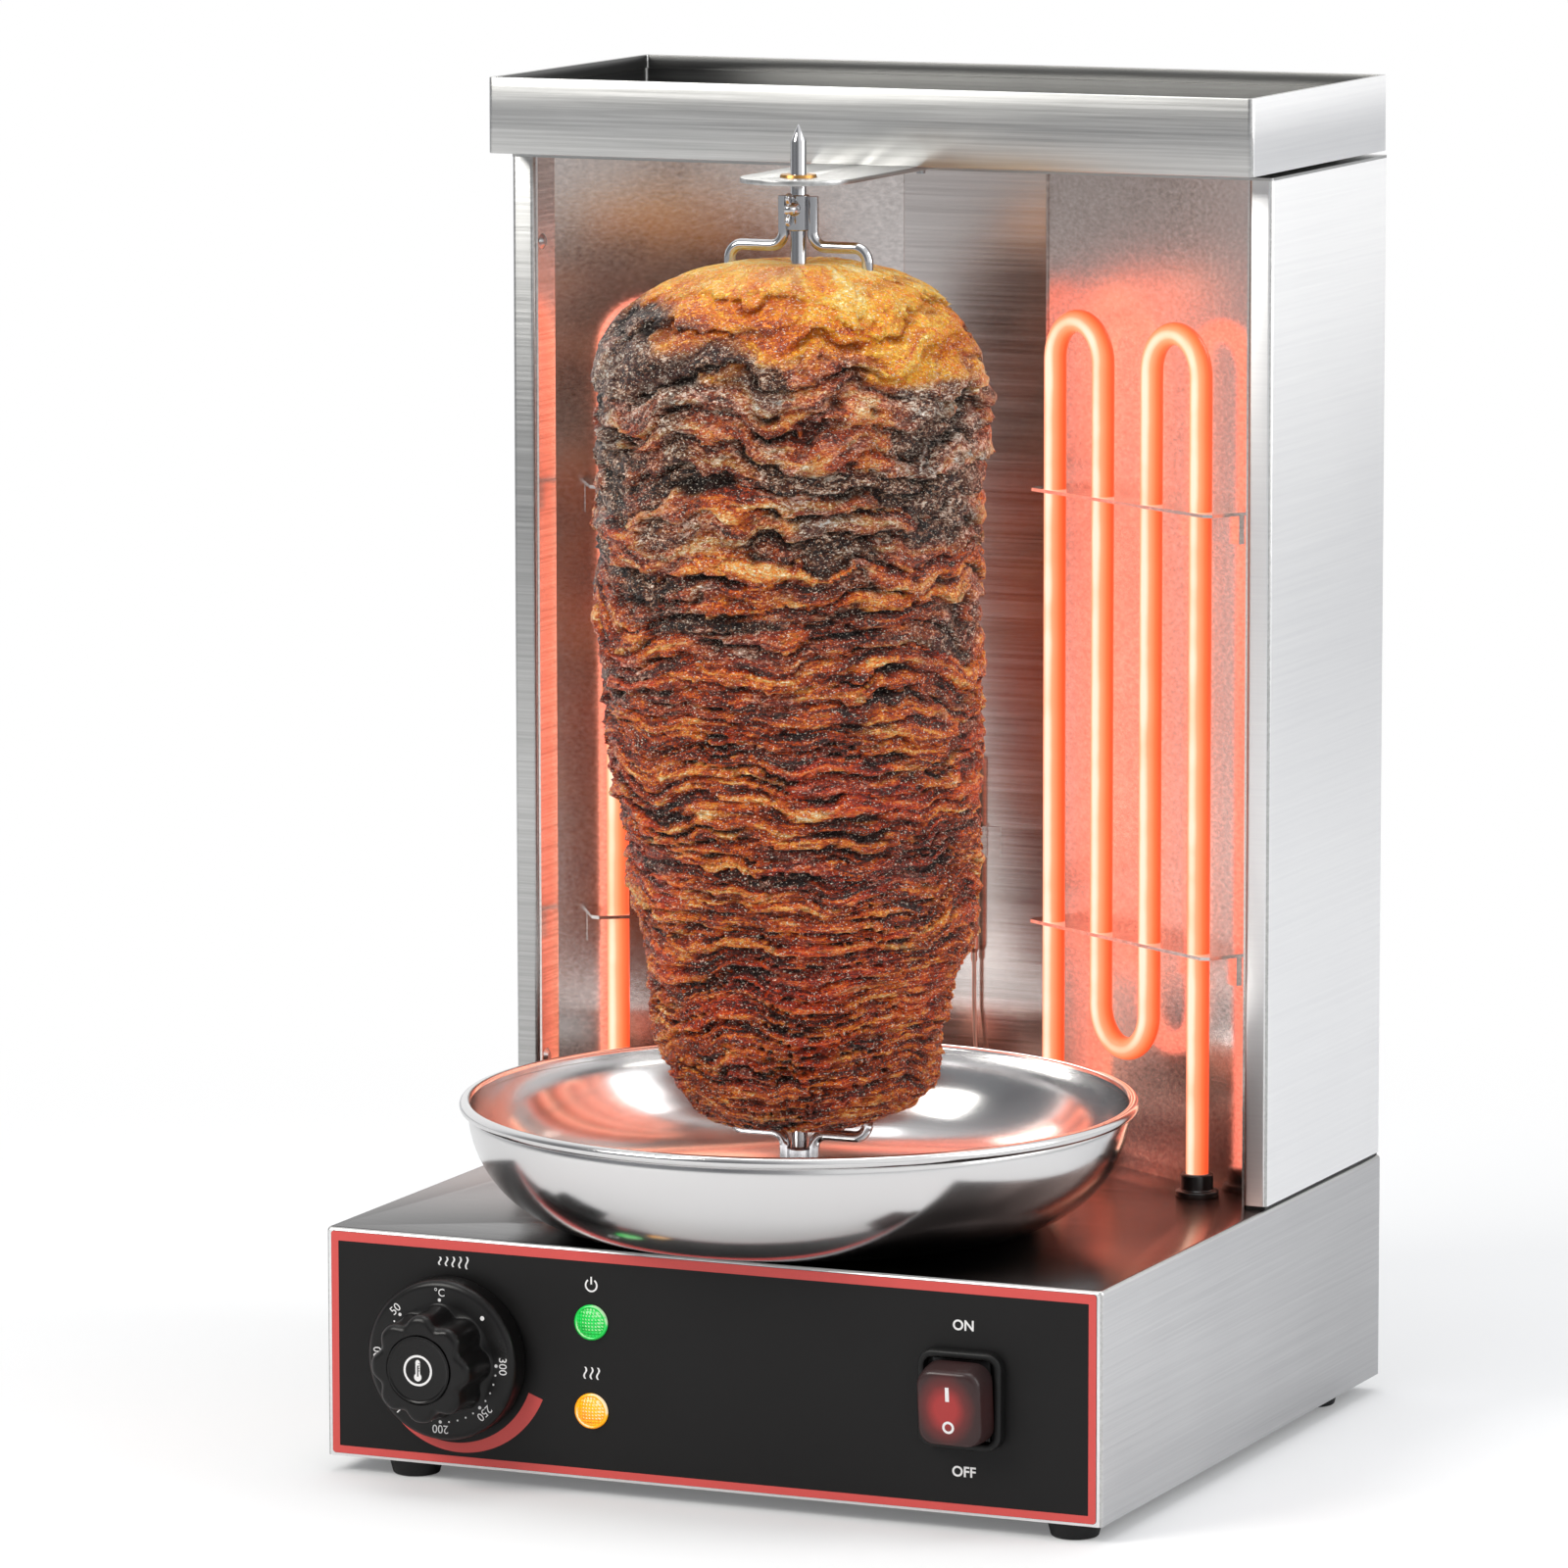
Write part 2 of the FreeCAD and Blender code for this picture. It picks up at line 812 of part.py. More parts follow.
def make_bearing_bush():
    bore = skewer_radius + running_gap
    profile = [
        (bore, 0),
        (bush_radius, 0),
        (bush_radius, bearing_sheet),
        (bush_flange_radius, bearing_sheet),
        (bush_flange_radius - 0.4, bearing_sheet + bush_flange_height),
        (bore, bearing_sheet + bush_flange_height),
    ]
    return turned(profile, Vec(0, spit_y, column_ceiling))


def make_tray():
    y0 = front + tray_setback
    y1 = y0 + tray_depth
    outer = rounded_block(-half_width, half_width, y0, y1, plate_top, tray_top, tray_bend)
    inner_bend = tray_bend - tray_sheet
    inner = rounded_block(-half_width + tray_sheet, half_width - tray_sheet, y0 + tray_sheet, y1 - tray_sheet,
                          plate_top + tray_sheet, tray_top - tray_hem_depth, inner_bend)
    hem = tray_hem_thickness
    mouth = rounded_block(-half_width + hem, half_width - hem, y0 + hem, y1 - hem,
                          tray_top - tray_hem_depth - 1, tray_top + 1, 1.0)
    return outer.cut(inner).cut(mouth)


def make_tray_spacers():
    strips = []
    for side in (-1, 1):
        x = side * (half_width - spacer_inset)
        strips.append(block(x - spacer_width / 2, x + spacer_width / 2, column_front + 8, column_back - 8,
                            column_ceiling, plate_top))
    return Part.makeCompound(strips)


def make_top_screws():
    """Studs welded under the tray floor, each with a nut below the ceiling sheet."""
    studs = []
    nut_top = column_ceiling - column_sheet
    nut_low = nut_top - top_nut_height
    for place in top_screw_places():
        shank = rod(top_screw_radius, place + UP * (nut_low - top_screw_end), place + UP * plate_top)
        nut = prism(hexagon(top_nut_radius), nut_low, nut_top)
        nut.translate(place)
        studs.append(fused([shank, nut]))
    return Part.makeCompound(studs)


# Spit

def make_skewer():
    tip = base_bottom + skewer_tip
    profile = [
        (0, socket_top - tang_depth),
        (skewer_radius, socket_top - tang_depth),
        (skewer_radius, tip - skewer_cone),
        (0, tip),
    ]
    bar = turned(profile, Vec(0, spit_y, 0))
    half = tang_width / 2
    for side in (-1, 1):
        y0 = spit_y + half if side > 0 else spit_y - skewer_radius - 1
        y1 = spit_y + skewer_radius + 1 if side > 0 else spit_y - half
        bar = bar.cut(block(-10, 10, y0, y1, socket_top - tang_depth - 1, socket_top))
    return bar


def make_meat():
    """The loaded stack of meat slices: rings of its outline as shares of its height and its radius."""
    rings = [
        (0.000, 0.452, 0.000),
        (0.020, 0.595, 0.000),
        (0.060, 0.702, 0.036),
        (0.150, 0.792, 0.012),
        (0.230, 0.857, 0.048),
        (0.330, 0.940, -0.012),
        (0.460, 0.970, -0.036),
        (0.620, 0.988, -0.054),
        (0.760, 1.000, -0.054),
        (0.880, 0.982, -0.048),
        (0.950, 0.821, -0.048),
        (0.985, 0.583, -0.060),
        (1.000, 0.357, -0.048),
    ]
    wires = []
    for rise, width, shift in rings:
        centre = Vec(shift * meat_radius, spit_y, meat_low + rise * (meat_high - meat_low))
        wires.append(Part.Wire(Part.makeCircle(width * meat_radius, centre, UP)))
    stack = Part.makeLoft(wires, True, True)
    cutters = [rod(skewer_radius + running_gap, Vec(0, spit_y, 0), Vec(0, spit_y, tray_top))]
    reach = fork_prong + upper_fork_travel + lower_fork_travel + 4
    for side in (-1, 1):
        x = side * fork_spread
        bore = fork_rod_radius + loose_gap
        cutters.append(rod(bore, Vec(x, spit_y, meat_high - reach), Vec(x, spit_y, meat_high + 20)))
        cutters.append(rod(bore, Vec(x, spit_y, meat_low - 20), Vec(x, spit_y, meat_low + reach)))
    for cutter in cutters:
        stack = stack.cut(cutter)
    return stack


def fork_solid():
    """Fork with its bar at height 0, prongs down and collar up, on an upright skewer through the origin."""
    collar = rod(collar_radius, UP * collar_gap, UP * (collar_gap + collar_height))
    pieces = [collar]
    rod_end = collar_gap + collar_height - 0.6
    for side in (-1, 1):
        inner = side * (collar_radius + fork_rod_radius - fork_weld)
        outer = side * fork_spread
        points = [
            Vec(inner, 0, rod_end),
            Vec(inner, 0, 0),
            Vec(outer, 0, 0),
            Vec(outer, 0, -fork_prong - fork_bar),
        ]
        pieces.append(tube(points, fork_rod_radius, fork_bend))
        tip = Vec(outer, 0, -fork_prong - fork_bar)
        pieces.append(Part.makeCone(fork_rod_radius, 0.3, 7, tip, UP * -1))
    fork = fused(pieces)
    fork = fork.cut(rod(skewer_radius + running_gap, UP * -20, UP * (rod_end + 20)))
    screw_centre = UP * wing_above_bar
    hole = rod(wing_shank_radius + running_gap, screw_centre, screw_centre - BACK * 20)
    return fork.cut(hole)


def wing_screw_solid():
    """Wing screw that points backwards to the skewer, its head in front."""
    start = skewer_radius + 2 * running_gap
    hub_start = collar_radius + loose_gap
    hub_end = hub_start + wing_hub_length
    shank = rod(wing_shank_radius, Vec(0, -start, 0), Vec(0, -hub_start - 1, 0))
    hub = turned([(0, 0), (wing_hub_radius, 0), (wing_hub_radius * 0.8, wing_hub_length - 1),
                  (wing_hub_radius * 0.5, wing_hub_length), (0, wing_hub_length)],
                 Vec(0, -hub_start, 0), BACK * -1)
    pieces = [shank, hub]
    for side in (-1, 1):
        root = wing_hub_radius * 0.5
        outline = [
            Vec(-wing_thickness / 2, -hub_start - 1.0, side * root),
            Vec(-wing_thickness / 2, -hub_start - 3.0, side * (wing_span - 1.6)),
            Vec(-wing_thickness / 2, -hub_start - 5.5, side * wing_span),
            Vec(-wing_thickness / 2, -hub_start - wing_length - 1.0, side * wing_span),
            Vec(-wing_thickness / 2, -hub_start - wing_length - 1.0, side * (wing_span - 2.2)),
            Vec(-wing_thickness / 2, -hub_end, side * root),
        ]
        face = Part.Face(Part.makePolygon(outline + outline[:1]))
        pieces.append(face.extrude(RIGHT * wing_thickness))
    return fused(pieces)


def upper_bar():
    return meat_high + fork_bar


def lower_bar():
    return meat_low - fork_bar


def place_upper(solid, z):
    moved = solid.copy()
    moved.translate(Vec(0, spit_y, z))
    return moved


def place_lower(solid, z):
    """Turned upside down about the sideways axis, as the lower fork is fitted."""
    moved = solid.copy()
    moved.rotate(Vec(0, 0, 0), RIGHT, 180)
    moved.translate(Vec(0, spit_y, z))
    return moved


# Drip pan

def make_pan():
    """Spun bowl with a rolled rim, a flat floor and a collar round the drive."""
    t = pan_sheet
    rim = pan_radius - pan_bead_radius
    wall_x = rim - pan_bead_lap
    spout = pan_spout_radius

    def outline(inset):
        """Half section edges from the collar to the rim, moved inwards by one sheet when inset is 1."""
        lift = inset * t
        side = wall_x - inset * t
        floor_edge = Vec(pan_floor_radius, 0, lift)
        slant = math.sqrt(0.5)
        mid = Vec(pan_floor_radius + (wall_x - pan_floor_radius) * pan_bulge_out - lift * slant, 0,
                  (pan_height - pan_bead_radius) * pan_bulge_up + lift * slant)
        wall_top = Vec(side, 0, pan_height - pan_bead_radius)
        return floor_edge, mid, wall_top

    low_edge, low_mid, low_top = outline(0)
    high_edge, high_mid, high_top = outline(1)
    edges = [
        Part.makeLine(Vec(spout, 0, pan_spout_height), Vec(spout, 0, 0)),
        Part.makeLine(Vec(spout, 0, 0), low_edge),
        Part.Arc(low_edge, low_mid, low_top).toShape(),
        Part.makeLine(low_top, high_top),
        Part.Arc(high_top, high_mid, high_edge).toShape(),
        Part.makeLine(high_edge, Vec(spout + t, 0, t)),
        Part.makeLine(Vec(spout + t, 0, t), Vec(spout + t, 0, pan_spout_height)),
        Part.makeLine(Vec(spout + t, 0, pan_spout_height), Vec(spout, 0, pan_spout_height)),
    ]
    face = Part.Face(Part.Wire(edges))
    bowl = face.revolve(Vec(0, 0, 0), UP, 360)
    bead = Part.makeTorus(rim, pan_bead_radius, Vec(0, 0, pan_height - pan_bead_radius))
    pan = fused([bowl, bead])
    pan.translate(Vec(0, spit_y, deck))
    return pan


# Drive

def make_drive_socket():
    low = socket_top - socket_height
    body = turned([(shaft_radius, low), (socket_radius, low), (socket_radius, socket_top - 0.8),
                   (socket_radius - 0.8, socket_top), (0, socket_top), (0, low + 4), (shaft_radius, low + 4)],
                  Vec(0, spit_y, 0))
    half = tang_width / 2 + loose_gap
    slot = block(-socket_radius - 1, socket_radius + 1, spit_y - half, spit_y + half,
                 socket_top - tang_depth - loose_gap, socket_top + 1)
    return body.cut(slot)


def hanger_level():
    """Top face of the plate that the gearmotor hangs from."""
    return deck - base_sheet - hanger_drop


def make_output_shaft():
    low = hanger_level() - hanger_sheet - gearcase_height * 0.6
    return rod(shaft_radius, Vec(0, spit_y, low), Vec(0, spit_y, socket_top - socket_height + 4))


def make_deck_bush():
    bore = shaft_radius + running_gap
    profile = [
        (bore, -base_sheet - 2.0),
        (deck_bush_radius, -base_sheet - 2.0),
        (deck_bush_radius, 0),
        (deck_bush_flange, 0),
        (deck_bush_flange - 0.4, deck_bush_flange_height),
        (bore, deck_bush_flange_height),
    ]
    return turned(profile, Vec(0, spit_y, deck))


def make_motor_hanger():
    """Hat-shaped strip under the deck."""
    half = hanger_sheet / 2
    high = deck - base_sheet - half
    low = hanger_level() - half
    x = hanger_width / 2 - half
    points = [(-x - hanger_foot, high), (-x, high), (-x, low), (x, low), (x, high), (x + hanger_foot, high)]
    sheet = folded_sheet(points, hanger_sheet, 1.0, 0, hanger_depth)
    sheet.rotate(Vec(0, 0, 0), RIGHT, 90)
    sheet.translate(Vec(0, spit_y + hanger_depth / 2, 0))
    return sheet.cut(rod(shaft_radius + 2, Vec(0, spit_y, 0), Vec(0, spit_y, deck)))


def make_gearcase():
    half = gearcase_width / 2
    high = hanger_level() - hanger_sheet
    case = rounded_block(-half, half, spit_y - half, spit_y + half, high - gearcase_height, high,
                         gearcase_corner)
    bore_low = high - gearcase_height * 0.6 - loose_gap
    return case.cut(rod(shaft_radius + running_gap, Vec(0, spit_y, bore_low), Vec(0, spit_y, deck)))


def make_motor():
    high = hanger_level() - hanger_sheet - gearcase_height
    low = high - motor_height
    profile = [(0, low), (motor_radius - 2, low), (motor_radius, low + 2), (motor_radius, high), (0, high)]
    return turned(profile, Vec(0, spit_y, 0))


# Front controls

def front_point(x, height, out):
    """A point a given distance in front of the panel."""
    return Vec(x, front - out, base_bottom + height)


def make_knob():
    """Skirt with a scale and a scalloped grip, hollow behind, with a hub on the spindle."""
    hub_depth = knob_start + 1.0
    profile = [
        (spindle_radius, hub_depth),
        (knob_hub_radius, hub_depth),
        (knob_hub_radius, knob_start + knob_bore_depth),
        (skirt_radius - knob_wall, knob_start + knob_bore_depth),
        (skirt_radius - knob_wall, knob_start),
        (skirt_radius, knob_start),
        (skirt_radius, knob_start + 5.0),
        (skirt_face_radius, skirt_height - 0.6),
        (skirt_face_radius - 0.6, skirt_height),
        (grip_radius, skirt_height),
        (grip_radius - 0.8, grip_height - grip_edge),
        (grip_radius - 1.2 - grip_edge * 0.4, grip_height - grip_edge * 0.3),
        (grip_radius - 1.4 - grip_edge, grip_height),
        (cap_radius, grip_height),
        (cap_radius, grip_height - cap_recess),
        (0, grip_height - cap_recess),
        (0, grip_height - 6.0),
        (spindle_radius, grip_height - 6.0),
    ]
    knob = turned(profile, front_point(knob_x, knob_height, 0), BACK * -1)
    for index in range(scallop_count):
        angle = math.radians(360 / scallop_count * (index + 0.5))
        reach = grip_radius + scallop_radius - scallop_depth
        x = knob_x + reach * math.sin(angle)
        height = knob_height + reach * math.cos(angle)
        scallop_end = front_point(x, height, grip_height + 2)
        knob = knob.cut(rod(scallop_radius, front_point(x, height, skirt_height), scallop_end))
    return knob


def make_knob_cap():
    low = grip_height - cap_recess
    high = low + cap_recess + cap_height
    side = cap_radius - running_gap
    profile = [(0, low), (side, low), (side, high - 0.4), (side - 0.6, high), (0, high)]
    return turned(profile, front_point(knob_x, knob_height, 0), BACK * -1)


def make_spindle():
    bar = rod(spindle_radius, front_point(knob_x, knob_height, -spindle_inside),
              front_point(knob_x, knob_height, grip_height - 6.0))
    return bar


def make_thermostat():
    half_w = thermostat_width / 2
    half_h = thermostat_tall / 2
    z = base_bottom + knob_height
    y0 = front + base_sheet
    body = rounded_block(knob_x - half_w, knob_x + half_w, y0, y0 + thermostat_depth, z - half_h, z + half_h,
                         4.0, BACK)
    neck = rod(thermostat_neck_radius, front_point(knob_x, knob_height, -base_sheet),
               front_point(knob_x, knob_height, thermostat_neck_height))
    unit = fused([body, neck])
    unit = unit.cut(rod(spindle_radius + running_gap,
                        front_point(knob_x, knob_height, -spindle_inside - loose_gap),
                        front_point(knob_x, knob_height, 10)))
    for side in (-1, 1):
        tab = block(knob_x + side * 10 - 3.2, knob_x + side * 10 + 3.2, y0 + thermostat_depth,
                    y0 + thermostat_depth + 8, z - 0.4, z + 0.4)
        unit = unit.fuse(tab)
    return unit


def make_lamp_lens(height):
    """Domed lens with a flat rim on the panel."""
    profile_low = overlay_sheet
    sphere_radius = (lamp_radius - 0.6) ** 2 / (2 * (lamp_dome - 1.2)) + (lamp_dome - 1.2) / 2
    centre = front_point(lamp_x, height, profile_low)
    rim = rod(lamp_radius, centre, front_point(lamp_x, height, profile_low + 1.2))
    middle = front_point(lamp_x, height, profile_low + lamp_dome - sphere_radius)
    dome = Part.makeSphere(sphere_radius, middle)
    keep = rod(lamp_radius - 0.6, front_point(lamp_x, height, profile_low + 0.6),
               front_point(lamp_x, height, profile_low + lamp_dome + 1))
    return fused([rim, dome.common(keep)])


def make_lamp_body(height):
    start = front_point(lamp_x, height, overlay_sheet)
    barrel = rod(lamp_body_radius - running_gap, start, front_point(lamp_x, height, -lamp_body_depth))
    tabs = []
    z = base_bottom + height
    for side in (-1, 1):
        tabs.append(block(lamp_x + side * 3 - 0.4, lamp_x + side * 3 + 0.4, front + lamp_body_depth,
                          front + lamp_body_depth + lamp_tab, z - 2.4, z + 2.4))
    return fused([barrel] + tabs)


def switch_block(half_w, half_h, out_near, out_far, corner=0):
    """A block on the switch's centre, between two distances in front of the panel."""
    z = base_bottom + switch_height
    x0 = switch_x - half_w
    x1 = switch_x + half_w
    if corner:
        return rounded_block(x0, x1, front - out_far, front - out_near, z - half_h, z + half_h,
                             corner, BACK)
    return block(x0, x1, front - out_far, front - out_near, z - half_h, z + half_h)


def make_switch_body():
    half_w = switch_cut_width / 2
    half_h = switch_cut_height / 2
    flange_top = overlay_sheet + switch_flange_height
    body = fused([
        switch_block(half_w - running_gap, half_h - running_gap, -switch_depth, overlay_sheet),
        switch_block(half_w + switch_flange, half_h + switch_flange, overlay_sheet, flange_top),
    ])
    slot_half_w = stem_width / 2 + loose_gap
    slot_half_h = stem_radius + loose_gap
    body = body.cut(switch_block(slot_half_w, slot_half_h + 0.6, rocker_pivot - stem_radius - 1.0, 10))
    z = base_bottom + switch_height
    for side in (-1, 0, 1):
        body = body.fuse(block(switch_x - 3.2, switch_x + 3.2, front + switch_depth, front + switch_depth + 8,
                               z + side * 9 - 0.4, z + side * 9 + 0.4))
    return body


def tilted(solid):
    """Turned with the rocker about its pivot line, top outwards."""
    moved = solid.copy()
    moved.rotate(front_point(switch_x, switch_height, rocker_pivot), RIGHT, rocker_tilt)
    return moved


def make_rocker():
    paddle = switch_block(paddle_width / 2, paddle_height / 2, paddle_start, paddle_start + paddle_depth)
    pivot = front_point(switch_x, switch_height, rocker_pivot)
    half = RIGHT * (stem_width / 2)
    barrel = rod(stem_radius, pivot - half, pivot + half)
    stem = switch_block(stem_width / 2, stem_thickness / 2, rocker_pivot, paddle_start + 1)
    return tilted(fused([paddle, stem, barrel]))


def boot_loft(grow):
    """Tapered round-cornered plug, grown or shrunk by one wall."""
    z = base_bottom + switch_height
    wires = []
    frame_in_w = boot_frame_width / 2 - boot_frame_wall
    frame_in_h = boot_frame_height / 2 - boot_frame_wall
    low = boot_start if grow >= 0 else boot_start - 1
    high = boot_start + boot_depth + (grow if grow < 0 else 0)
    for out, taper in ((low, 0.0), (high, boot_taper)):
        half_w = frame_in_w - 1.0 - taper + grow
        half_h = frame_in_h - 1.0 - taper + grow
        corner = boot_corner + grow
        plate = rounded_block(switch_x - half_w, switch_x + half_w, front - out, front - out + 1,
                              z - half_h, z + half_h, corner, BACK)
        face = [f for f in plate.Faces if f.BoundBox.YMax < front - out + 1e-6][0]
        wires.append(face.OuterWire)
    return Part.makeLoft(wires, True, True)


def make_boot():
    """Soft clear dome over the rocker, open behind."""
    outer = boot_loft(0)
    rim = [e for e in outer.Edges if e.BoundBox.YMax < front - boot_start - boot_depth + 1e-6]
    outer = outer.makeFillet(1.4, rim)
    dome = outer.cut(boot_loft(-boot_wall))
    core = switch_block(paddle_width / 2 - 1, paddle_height / 2 - 1, paddle_start + paddle_depth,
                        boot_start + boot_depth - boot_wall)
    return tilted(dome.fuse(core).removeSplitter())


def make_boot_frame():
    half_w = boot_frame_width / 2
    half_h = boot_frame_height / 2
    outer = switch_block(half_w, half_h, overlay_sheet, boot_frame_depth, boot_corner + 2)
    rim = [e for e in outer.Edges if e.BoundBox.YMax < front - boot_frame_depth + 1e-6]
    outer = outer.makeFillet(1.2, rim)
    inner = switch_block(half_w - boot_frame_wall, half_h - boot_frame_wall, -1, boot_frame_depth + 1,
                         boot_corner)
    return outer.cut(inner)


# Thermostat bulb and supply

def bulb_place(z):
    return Vec(bulb_x, mirror_y - bulb_standoff, base_bottom + z)


def make_bulb():
    low = bulb_bottom
    profile = [(0, -bulb_crimp), (capillary_radius + 0.5, -bulb_crimp), (capillary_radius + 0.5, -2.0),
               (bulb_radius, 0), (bulb_radius, bulb_length - 1), (bulb_radius - 1, bulb_length), (0, bulb_length)]
    return turned(profile, bulb_place(low))


def make_capillary():
    """Thin tube from the bulb through the deck to the thermostat in front."""
    start = bulb_place(bulb_bottom - bulb_crimp)
    hole = capillary_hole()
    thermostat_top = Vec(knob_x, front + base_sheet + thermostat_depth / 2,
                         base_bottom + knob_height + thermostat_tall / 2)
    across = thermostat_top - hole
    loft = deck - capillary_drop
    points = [
        start,
        Vec(start.x, start.y, start.z - 22),
        Vec(hole.x, hole.y, deck + 24),
        Vec(hole.x, hole.y, loft),
        Vec(hole.x + across.x * 0.23, hole.y + across.y * 0.17, loft),
        Vec(hole.x + across.x * 0.715, hole.y + across.y * 0.477, loft),
        Vec(thermostat_top.x, thermostat_top.y, loft),
        thermostat_top,
    ]
    return tube(points, capillary_radius, capillary_bend)


def make_grommet():
    hole = capillary_hole()
    profile = [
        (capillary_radius + seat_gap, -base_sheet - 1.4),
        (capillary_hole_radius + 1.0, -base_sheet - 1.4),
        (capillary_hole_radius + 1.0, -base_sheet),
        (capillary_hole_radius, -base_sheet),
        (capillary_hole_radius, 0),
        (grommet_flange, 0),
        (grommet_flange - 0.6, grommet_height),
        (capillary_radius + seat_gap, grommet_height),
    ]
    return turned(profile, hole + UP * deck)


def make_bulb_clip():
    """Bent strip round the bulb, with a tab screwed to the middle reflector."""
    low = base_bottom + clip_level
    high = low + clip_height
    centre = bulb_place(0)
    inner = bulb_radius + running_gap
    outer = inner + clip_sheet
    ring = rod(outer, Vec(centre.x, centre.y, low), Vec(centre.x, centre.y, high))
    cheek = block(centre.x - outer, centre.x + outer, centre.y, mirror_y, low, high)
    tab = block(centre.x, centre.x + outer + clip_tab, mirror_y - clip_sheet, mirror_y, low, high)
    clip = fused([ring, cheek, tab])
    clip = clip.cut(rod(inner, Vec(centre.x, centre.y, low - 1), Vec(centre.x, centre.y, high + 1)))
    mouth = block(centre.x - inner, centre.x + inner, centre.y, mirror_y - clip_sheet, low - 1, high + 1)
    return clip.cut(mouth)


def make_gland():
    back = front + base_depth
    hexagon_solid = prism(hexagon(gland_hex), 0, gland_hex_height)
    profile = [
        (gland_bore, -base_sheet - 6.0),
        (gland_radius, -base_sheet - 6.0),
        (gland_radius, gland_hex_height),
        (gland_radius + 0.6, gland_hex_height + 1),
        (gland_radius - 1.2, gland_reach - 1.5),
        (gland_bore + 1.5, gland_reach),
        (gland_bore, gland_reach),
    ]
    stem = turned(profile, Vec(0, 0, 0))
    gland = fused([hexagon_solid, stem]).cut(rod(gland_bore, UP * -20, UP * 30))
    place = Vec(gland_x, back, base_bottom + gland_height)
    gland.Placement = FreeCAD.Placement(place, FreeCAD.Rotation(UP, BACK))
    return gland


def make_terminal_block():
    back = front + base_depth - base_sheet
    z0 = base_bottom + gland_height + 22
    x0 = gland_x - terminal_width / 2
    unit = block(x0, x0 + terminal_width, back - terminal_depth, back, z0, z0 + terminal_height)
    pitch = terminal_width / terminal_ways
    for index in range(terminal_ways):
        x = x0 + pitch * (index + 0.5)
        unit = unit.cut(rod(terminal_bore, Vec(x, back - terminal_depth / 2, z0 + 5),
                            Vec(x, back - terminal_depth / 2, z0 + terminal_height + 1)))
    for index in range(1, terminal_ways):
        x = x0 + pitch * index
        unit = unit.cut(block(x - 0.8, x + 0.8, back - terminal_depth, back - 3, z0 + 6, z0 + terminal_height))
    return unit


# All sub-parts

write("base_shell", make_base_shell())
write("base_rear", make_base_rear())
write("front_overlay", make_front_overlay())
write("bottom_plate", make_bottom_plate())
write("rubber_feet", Part.makeCompound([make_foot(place) for place in foot_places()]))
write("foot_screws", make_foot_screws())

right_panel = make_side_panel()
write("side_panel_right", right_panel)
write("side_panel_left", mirrored(right_panel))
write("rear_cover", make_rear_cover())
write("seam_gasket", make_seam_gasket())

right_reflector = make_side_reflector()
write("reflector_right", right_reflector)
write("reflector_left", mirrored(right_reflector))
write("reflector_middle", make_middle_reflector())
write("reflector_rivets", make_rivets())

right_heater = make_heater()
write("heater_right", right_heater)
write("heater_left", mirrored(right_heater))
write("heater_bushings", Part.makeCompound([make_bushing(place) for place in tail_places()]))
write("bushing_nuts", Part.makeCompound([make_bushing_nut(place) for place in tail_places()]))
for level_name, bracket_height in zip(("lower", "upper"), bracket_heights):
    right_bracket = make_bracket(bracket_height)
    write("heater_bracket_right_" + level_name, right_bracket)
    write("heater_bracket_left_" + level_name, mirrored(right_bracket))
write("bracket_screws", make_bracket_screws())

write("ceiling_sheet", make_ceiling())
write("bearing_plate", make_bearing_plate())
write("bearing_bush", make_bearing_bush())
write("top_tray", make_tray())
write("tray_spacers", make_tray_spacers())
write("top_screws", make_top_screws())

write("skewer", make_skewer())
write("meat", make_meat())
fork = fork_solid()
wing_screw = wing_screw_solid()
write("upper_fork", place_upper(fork, upper_bar()))
write("upper_wing_screw", place_upper(wing_screw, upper_bar() + wing_above_bar))
write("lower_fork", place_lower(fork, lower_bar()))
write("lower_wing_screw", place_lower(wing_screw, lower_bar() - wing_above_bar))

write("drip_pan", make_pan())
write("drive_socket", make_drive_socket())
write("output_shaft", make_output_shaft())
write("deck_bush", make_deck_bush())
write("motor_hanger", make_motor_hanger())
write("gearcase", make_gearcase())
write("motor", make_motor())

write("knob", make_knob())
write("knob_cap", make_knob_cap())
write("thermostat_spindle", make_spindle())
write("thermostat", make_thermostat())
for lamp_name, lamp_height in zip(("amber", "green"), lamp_heights):
    write("lamp_lens_" + lamp_name, make_lamp_lens(lamp_height))
    write("lamp_body_" + lamp_name, make_lamp_body(lamp_height))
write("switch_body", make_switch_body())
write("switch_rocker", make_rocker())
write("switch_boot", make_boot())
write("boot_frame", make_boot_frame())

write("thermostat_bulb", make_bulb())
write("capillary_tube", make_capillary())
write("capillary_grommet", make_grommet())
write("bulb_clip", make_bulb_clip())
write("cable_gland", make_gland())
write("terminal_block", make_terminal_block())

print("overall", base_width, base_depth + gland_reach + pan_radius - spit_setback, tray_top)
print("spit axis y", spit_y, "front y", front, "deck z", deck)
print("knob axis", knob_x, base_bottom + knob_height)
print("rocker pivot", switch_x, front - rocker_pivot, base_bottom + switch_height)
print("upper wing screw z", upper_bar() + wing_above_bar, "lower", lower_bar() - wing_above_bar)
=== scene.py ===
# %% [markdown]
# # Dressing a doner kebab grill
# The CAD frame brings every sheet, tube and screw of the grill in its real place, but as plain grey solids.
# This lesson gives each of them its finish, and models again, with more care, the pieces that the eye goes
# to: the roast, the glowing heaters, the polished pan, the forks, the knob, the lamps and the switch.
# Everything is in metres in Blender, so sizes that a maker would give in millimetres are multiplied by MM.

